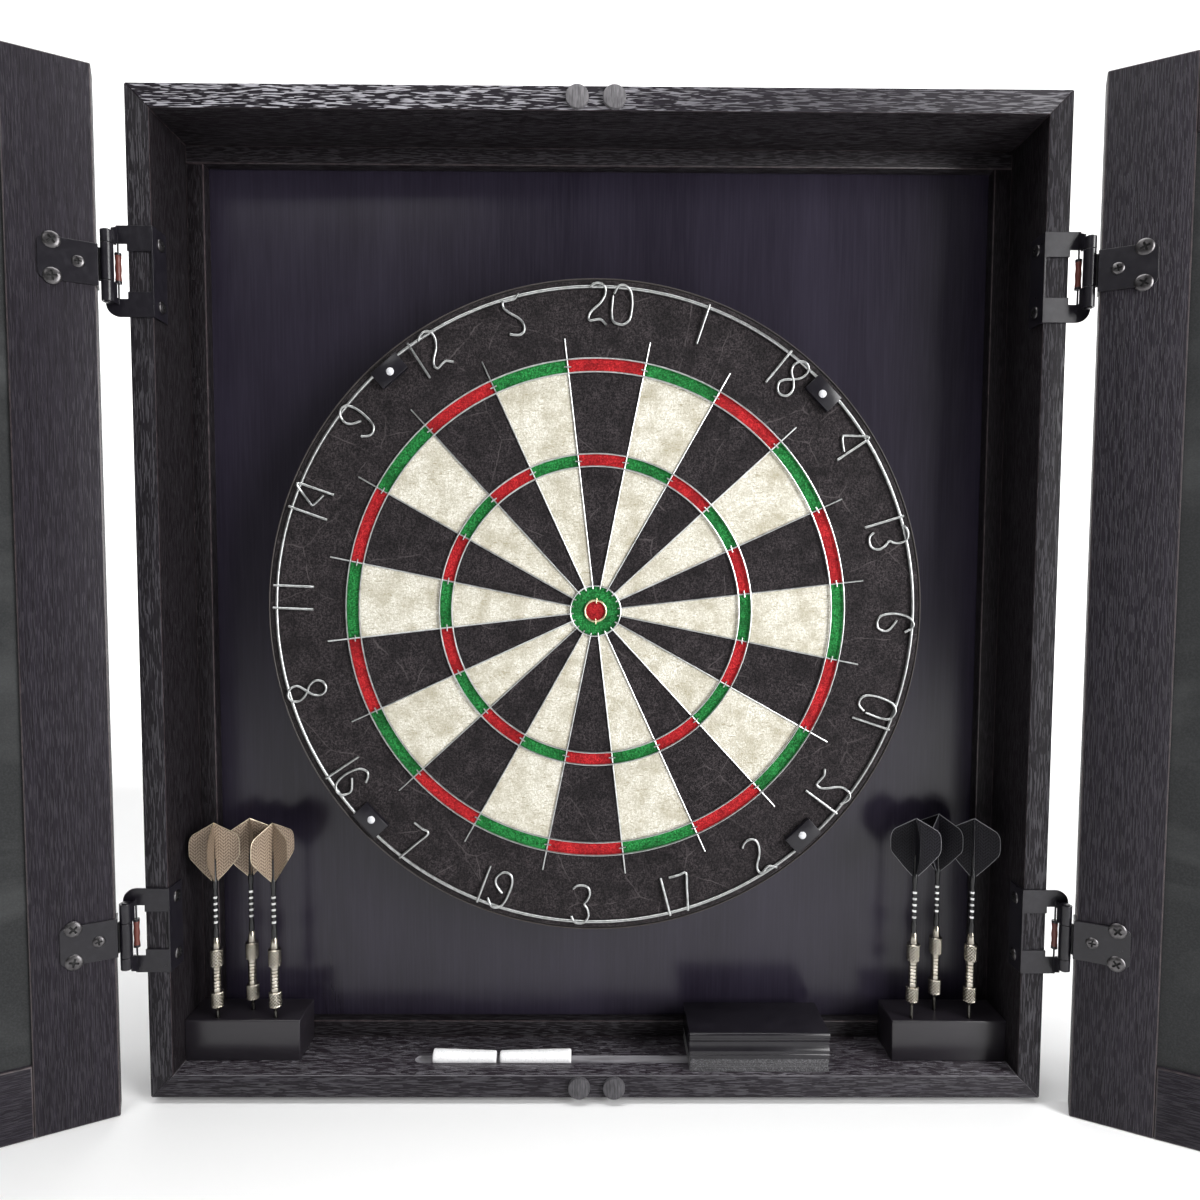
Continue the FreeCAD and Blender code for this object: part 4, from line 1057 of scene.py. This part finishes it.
def build_numbers():
    """Wire numbers welded to the number ring, and the ring itself."""
    bm, ring = bmesh.new(), bmesh.new()
    for place, number in enumerate(NUMBER_ORDER):
        text = str(number)
        lean = random.uniform(-0.03, 0.03)
        shifts = DIGIT_PLACES.get(text, (-0.24, 0.24)) if len(text) > 1 else (0.0,)
        for digit, shift in zip(text, shifts):
            bent = [(x / 100 + lean * (h / 100 - 0.5), h / 100) for x, h in DIGITS[digit]]
            points = digit_points(bent, shift, place * 2 * math.pi / SECTORS, number in READ_OUTWARD)
            add_tube(bm, smooth_path(points, 5), NUMBER_WIRE_R, 10)
    piece("number_wires_bent", bm, ("wire",), "dartboard", "wire_silver", "number_wires")
    path = ring_path(NUMBER_RING_R, FACE_Y - NUMBER_RING_WIRE_R, 360)
    add_tube(ring, path, NUMBER_RING_WIRE_R, 14, closed=True)
    piece("number_ring_round", ring, ("wire",), "dartboard", "wire_silver", "number_ring")


def build_clips():
    """Pressed clips over the number ring with a white-capped rivet each."""
    plates, rivets = bmesh.new(), bmesh.new()
    w, top = CLIP_HALF_W, FACE_Y - CLIP_TOP
    angles = [math.pi / 2 * step / 8 for step in range(8)]
    dome = [(RIVET_R * math.cos(a), RIVET_RISE * math.sin(a)) for a in angles]
    profile = [(0, -1 * MM), (RIVET_R, -1 * MM)] + dome + [(0, RIVET_RISE)]
    for degrees in CLIP_ANGLES:
        turn = Matrix.Rotation(math.radians(degrees) + BOARD_TURN, 4, "Y")
        turn = Matrix.Translation((CENTRE.x, 0, CENTRE.z)) @ turn
        add_box(plates, (-w, top, CLIP_IN_R), (w, FACE_Y - 2.9 * MM, CLIP_OUT_R), 0.4 * MM, place=turn)
        foot_high = (w, FACE_Y, CLIP_IN_R + 1.2 * MM)
        add_box(plates, (-w, FACE_Y - 3.2 * MM, CLIP_IN_R), foot_high, 0.3 * MM, place=turn)
        centre = Matrix.Translation((0, top, CLIP_IN_R + 0.42 * (CLIP_OUT_R - CLIP_IN_R)))
        add_lathe(rivets, profile, turn @ centre @ Matrix.Rotation(math.pi / 2, 4, "X"), 32)
    piece("ring_clips_pressed", plates, ("steel",), "dartboard", "black_steel", "ring_clips")
    piece("clip_rivets_domed", rivets, ("rivet",), "dartboard", "rivet_white", "clip_rivets")


# ---- darts

def in_mm(profile):
    """A profile given in millimetres."""
    return [(r * MM, h * MM) for r, h in profile]


def barrel_profile():
    """Barrel outline with small steps through the knurled collars and ring grooves in the grip."""
    profile = [(0, 0), (1.1, 0), (2.6, 2.4), (4.1, 3.4)]
    profile += [(4.45, 3.6 + step * 0.4) for step in range(26)]
    profile += [(4.1, 13.9), (3.0, 14.3)]
    for groove in GRIP_RINGS:
        profile += [(3.0, groove), (2.7, groove + 0.25), (2.7, groove + 0.75), (3.0, groove + 1.0)]
    profile += [(3.0, 32.6), (4.1, 33.0)]
    profile += [(4.45, 33.2 + step * 0.4) for step in range(30)]
    return in_mm(profile + [(4.1, 45.1), (3.0, 45.5), (2.5, 49.0), (1.95, 52.6), (1.7, 53.0), (0, 53.0)])


def knurl(angle, height, radius):
    """Diamond knurl on the collars."""
    if radius < COLLAR_R - 1e-6 or not any(low <= height <= high for low, high in COLLARS):
        return 0.0
    lift = math.pi * height / KNURL_PITCH
    ridges = (abs(math.sin(6 * angle + lift)), abs(math.sin(6 * angle - lift)))
    return -KNURL_DEPTH * sum(max(0.0, 1 - ridge * 2.2) for ridge in ridges)


def build_barrel(name, axis, foot):
    """Knurled barrel and its steel point."""
    low, _ = corners(name + "_barrel")
    bm = bmesh.new()
    add_lathe(bm, barrel_profile(), Matrix.Translation((axis.x, axis.y, foot)), 112, wobble=knurl)
    split = len(bm.faces)
    top = foot - low.z + 0.5 * MM
    point = [(0, 0), (0.35 * MM, 0.4 * MM), (1.1 * MM, 4 * MM), (1.1 * MM, top), (0, top)]
    add_lathe(bm, point, Matrix.Translation((axis.x, axis.y, low.z)), 24)
    bm.faces.ensure_lookup_table()
    # Faces cut into the collars take the dark knurl finish: painted shade in the knurl's grooves.
    for face in bm.faces[:split]:
        middle = face.calc_center_median() - Vector((axis.x, axis.y, foot))
        in_collar = any(start + MM < middle.z < end - 0.3 * MM for start, end in COLLARS)
        if in_collar and middle.xy.length < COLLAR_R - KNURL_CUT:
            face.material_index = 2
    for face in bm.faces[split:]:
        face.material_index = 1
    finishes = ("barrel", "point", "knurl")
    piece(name + "_barrel_knurled", bm, finishes, name, "barrel_nickel", name + "_barrel")


def build_shaft(name, axis):
    """Black shaft with bright rings and a slotted crown."""
    low, high = corners(name + "_shaft")
    profile, kinds = [(0, 0), (1.95, 0), (1.95, 6.0), (1.5, 7.5)], [0] * 4
    for height in SHAFT_RINGS:
        profile += [(1.5, height - 0.95), (2.1, height - 0.75), (2.1, height + 0.75), (1.5, height + 0.95)]
        kinds += [1, 1, 1, 0]
    top = (high.z - low.z) / MM
    profile += [(1.5, 34.0), (1.9, 36.5), (1.9, 41.0), (1.2, 43.0), (1.0, top), (0, top)]
    kinds += [0] * 6
    bm = bmesh.new()
    place = Matrix.Translation((axis.x, axis.y, low.z))
    add_lathe(bm, in_mm(profile), place, 32, material_at=lambda index: kinds[index])
    piece(name + "_shaft_turned", bm, ("shaft", "shaft_ring"), name, "shaft_black", name + "_shaft")


# One wing, from the top of the axis round its outer edge to the foot, as shares of its (width, height).
WING = ((0.0, 0.0), (0.45, 0.10), (0.84, 0.19), (0.93, 0.235), (0.985, 0.30), (1.0, 0.37), (1.0, 0.50),
        (0.985, 0.55), (0.93, 0.60), (0.50, 0.81), (0.06, 1.0))


def add_wing(bm, layout, top, outward, half, drop):
    """A thin wing with a narrow bright border; layout holds (out, down) in mm for the embossing."""
    thick = outward.cross(Z_AXIS).normalized() * FLIGHT_HALF_T
    mid_x, mid_z = half * 0.42, -drop * 0.45
    rows = []
    for shrink, spread in ((1.0, 0.6), (0.972, 1.0)):
        rows.append([(max(0.0, mid_x + (x * half - mid_x) * shrink) if x else 0.0,
                      mid_z + (-z * drop - mid_z) * shrink, spread) for x, z in WING])
    made = []
    for sign in (1, -1):
        rim, field = [[bm.verts.new(top + outward * x + Z_AXIS * z + thick * sign * t) for x, z, t in row]
                      for row in rows]
        for i in range(len(WING) - 1):
            face = bm.faces.new((rim[i], rim[i + 1], field[i + 1], field[i]))
            face.material_index = 1
            made.append(face)
        made.append(bm.faces.new(field))
    for loop in (loop for face in made for loop in face.loops):
        offset = loop.vert.co - top
        loop[layout].uv = (offset.dot(outward) / MM, -offset.z / MM)


def build_flight(name, side, number, axis):
    """Four embossed wings; each dart is turned its own way in its hole."""
    low, high = corners(name + "_flight")
    top = Vector((axis.x, axis.y, high.z))
    turn = math.radians(FLIGHT_TURNS[side][number - 1])
    bm = bmesh.new()
    layout = bm.loops.layers.uv.new("layout")
    for quarter in range(4):
        angle = turn + quarter * math.pi / 2
        outward = Vector((math.cos(angle), math.sin(angle), 0))
        add_wing(bm, layout, top, outward, (high.x - low.x) / 2, high.z - low.z)
    key, slot = ("bronze", "flight_bronze") if side == "left" else ("film", "flight_black")
    piece(name + "_flight_film", bm, (key, key + "_edge"), name, slot, name + "_flight", closed=False)


def build_darts():
    """Six darts in two sets."""
    for side, _ in SIDES:
        for number in (1, 2, 3):
            name = f"{side}_dart_{number}"
            low, high = corners(name + "_barrel")
            axis = (low + high) / 2
            build_barrel(name, axis, high.z - BARREL_L)
            build_shaft(name, axis)
            build_flight(name, side, number, axis)


# ---- chalk and eraser

def crumble(angle, height, radius):
    """Slight unevenness of a hand-worn stick."""
    return 0.06 * MM * math.sin(3 * angle + height * 900)


def build_chalk(name):
    """Tapered stick with crumbled, rounded ends; the left one has its thick end on the left."""
    node = name + "_chalk"
    low, high = corners(node)
    length = high.x - low.x
    big, small = CHALK_BIG_R, CHALK_SMALL_R
    profile = [(0, 0), (big * 0.82, 0.1 * MM), (big * 0.95, 0.5 * MM), (big, 1.3 * MM)]
    profile += [(big + (small - big) * step / 12, length * step / 12) for step in range(1, 12)]
    profile += [(small, length - 1.3 * MM), (small * 0.94, length - 0.5 * MM),
                (small * 0.8, length - 0.1 * MM), (0, length)]
    direction = 1 if name == "left" else -1
    start = Vector((low.x if direction > 0 else high.x, (low.y + high.y) / 2, low.z + big))
    tilt = direction * (math.pi / 2 + math.atan(CHALK_DROP / length))
    bm = bmesh.new()
    add_lathe(bm, profile, Matrix.Translation(start) @ Matrix.Rotation(tilt, 4, "Y"), 40, wobble=crumble)
    piece(node + "_stick", bm, ("chalk",), node, "chalk_white", node)


def eraser_outline(low, high):
    """Cross-section of the grip: foot band, finger groove with a step, upper band and a rolled top lip."""
    rise = high.z - low.z
    half = ((0.0, 0.0), (0.0, 0.14), (0.3, 0.16), (0.3, 0.28), (0.7, 0.36), (1.0, 0.48), (0.95, 0.60),
            (0.6, 0.68), (0.3, 0.72), (0.3, 0.80), (0.0, 0.83), (0.0, 0.93))
    front = [Vector((low.x, low.y + inset * GRIP_GROOVE, low.z + share * rise)) for inset, share in half]
    front.append(Vector((low.x, low.y + 1.0 * MM, high.z)))
    back = [Vector((p.x, low.y + high.y - p.y, p.z)) for p in reversed(front)]
    return front + back


def build_eraser():
    """Grip with its finger grooves, and the layered felt pad under it."""
    low, high = corners("eraser_body")
    grip, pad = bmesh.new(), bmesh.new()
    add_prism(grip, eraser_outline(low, high), Vector((high.x - low.x, 0, 0)), 0.35 * MM)
    piece("eraser_grip", grip, ("eraser",), "eraser", "eraser_black", "eraser_body")
    low, high = corners("eraser_felt")
    thick = (high.z - low.z) / 3
    for layer in range(3):
        proud = FELT_PROUD - 0.4 * MM * (layer % 2)
        start = (low.x - proud, low.y - proud, low.z + thick * layer)
        end = (high.x + proud, high.y + proud, low.z + thick * (layer + 1))
        add_box(pad, start, end, WOOD_BEVEL, 3)
    piece("eraser_felt_layers", pad, ("felt",), "eraser", "felt_grey", "eraser_felt")


# ---- CAD nodes that stay

def dress_cad_nodes():
    """Materials for the CAD nodes that stay."""
    finish = {
        "back_panel": "panel", "hinge_frame_wings": "steel", "hinge_pins": "steel", "board_hanger": "zinc",
        "hanger_screws": "zinc", "board_backing": "chipboard", "board_hook_screw": "zinc",
    }
    for name, _ in SIDES:
        finish[name + "_door_panel"] = "oak_door"
        finish[name + "_chalkboard"] = "slate"
        # The strikes take the darker, painted-shade copy of the magnet grey.
        finish[name + "_door_strikes"] = "magnet_low"
        finish[name + "_door_leaves"] = "steel"
    for node, key in finish.items():
        mesh = frame["nodes"][node].data
        mesh.materials.clear()
        mesh.materials.append(M[key])


# ---- studio

def build_floor():
    """Pale floor that curves up into a pale wall far behind."""
    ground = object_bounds()[0][2] - 0.2 * MM
    depth, curve, width, height = 3.2, 1.2, 8.0, 5.0
    profile = [(-4.0, 0.0), (depth - curve, 0.0)]
    for step in range(1, 13):
        angle = math.pi / 2 * step / 12
        profile.append((depth - curve + curve * math.sin(angle), curve - curve * math.cos(angle)))
    profile.append((depth, height))
    bm = bmesh.new()
    rows = [[bm.verts.new((x, y, ground + z)) for x in (-width, width)] for y, z in profile]
    for low, high in zip(rows, rows[1:]):
        bm.faces.new((low[0], low[1], high[1], high[0]))
    s = Shader("floor_pale", specular=0.1)
    s.fill(s.bsdf, {"Base Color": (0.93, 0.93, 0.93, 1), "Roughness": 0.7})
    floor = mesh_object("floor", bm, [s.material])


def area_light(name, place, target, size, power):
    """A soft rectangular light aimed at a point."""
    data = bpy.data.lights.new(name, "AREA")
    data.shape = "RECTANGLE"
    data.size, data.size_y = size
    data.energy = power
    lamp = bpy.data.objects.new(name, data)
    bpy.context.scene.collection.objects.link(lamp)
    lamp.location = place
    lamp.rotation_euler = (Vector(target) - Vector(place)).to_track_quat("-Z", "Y").to_euler()


def build_lights():
    """Soft white surround, a key box on the right, one for the grain, one overhead and a lit backdrop."""
    world = bpy.data.worlds.new("studio")
    bpy.context.scene.world = world
    world.use_nodes = True
    world.node_tree.nodes["Background"].inputs["Color"].default_value = (1, 1, 1, 1)
    world.node_tree.nodes["Background"].inputs["Strength"].default_value = 0.13
    area_light("key_right", (1.75, -1.35, 0.45), (0, 0, -0.1), (0.9, 1.4), 60)
    area_light("grain_left", (-0.75, -1.65, 1.35), (-0.2, -0.06, 0.33), (0.8, 0.3), 4)
    area_light("overhead", (0.0, -0.25, 2.1), (0, -0.25, -0.34), (2.4, 1.0), 50)
    for _, side in SIDES:
        area_light("backdrop", (side * 1.5, 0.6, 1.3), (side * 1.5, 3.0, 1.5), (1.6, 2.0), 100)


def build_camera():
    """Pinhole camera at the fitted place; it looks back from the front, level but for three small turns."""
    level = Matrix(((1, 0, 0), (0, 0, -1), (0, 1, 0)))
    looking = (Matrix.Rotation(CAMERA_ROLL, 3, "Z") @ Matrix.Rotation(CAMERA_YAW, 3, "Y")
               @ Matrix.Rotation(CAMERA_PITCH, 3, "X") @ level)
    data = bpy.data.cameras.new("camera")
    data.sensor_width = 36
    data.lens = CAMERA_LENS
    data.shift_y = CAMERA_SHIFT_Y
    data.clip_start = 0.01
    camera = bpy.data.objects.new("camera", data)
    bpy.context.scene.collection.objects.link(camera)
    axes = Matrix((looking[0], -looking[1], -looking[2])).transposed()
    camera.matrix_world = Matrix.Translation(CAMERA_PLACE) @ axes.to_4x4()
    bpy.context.scene.camera = camera


build_cabinet()
for door_name, _ in SIDES:
    build_door(door_name)
build_hinges()
build_sisal()
build_rim()
build_spider()
build_numbers()
build_clips()
build_darts()
build_chalk("left")
build_chalk("right")
build_eraser()
dress_cad_nodes()
build_floor()
build_lights()
build_camera()
bpy.context.scene.view_settings.view_transform = "Standard"
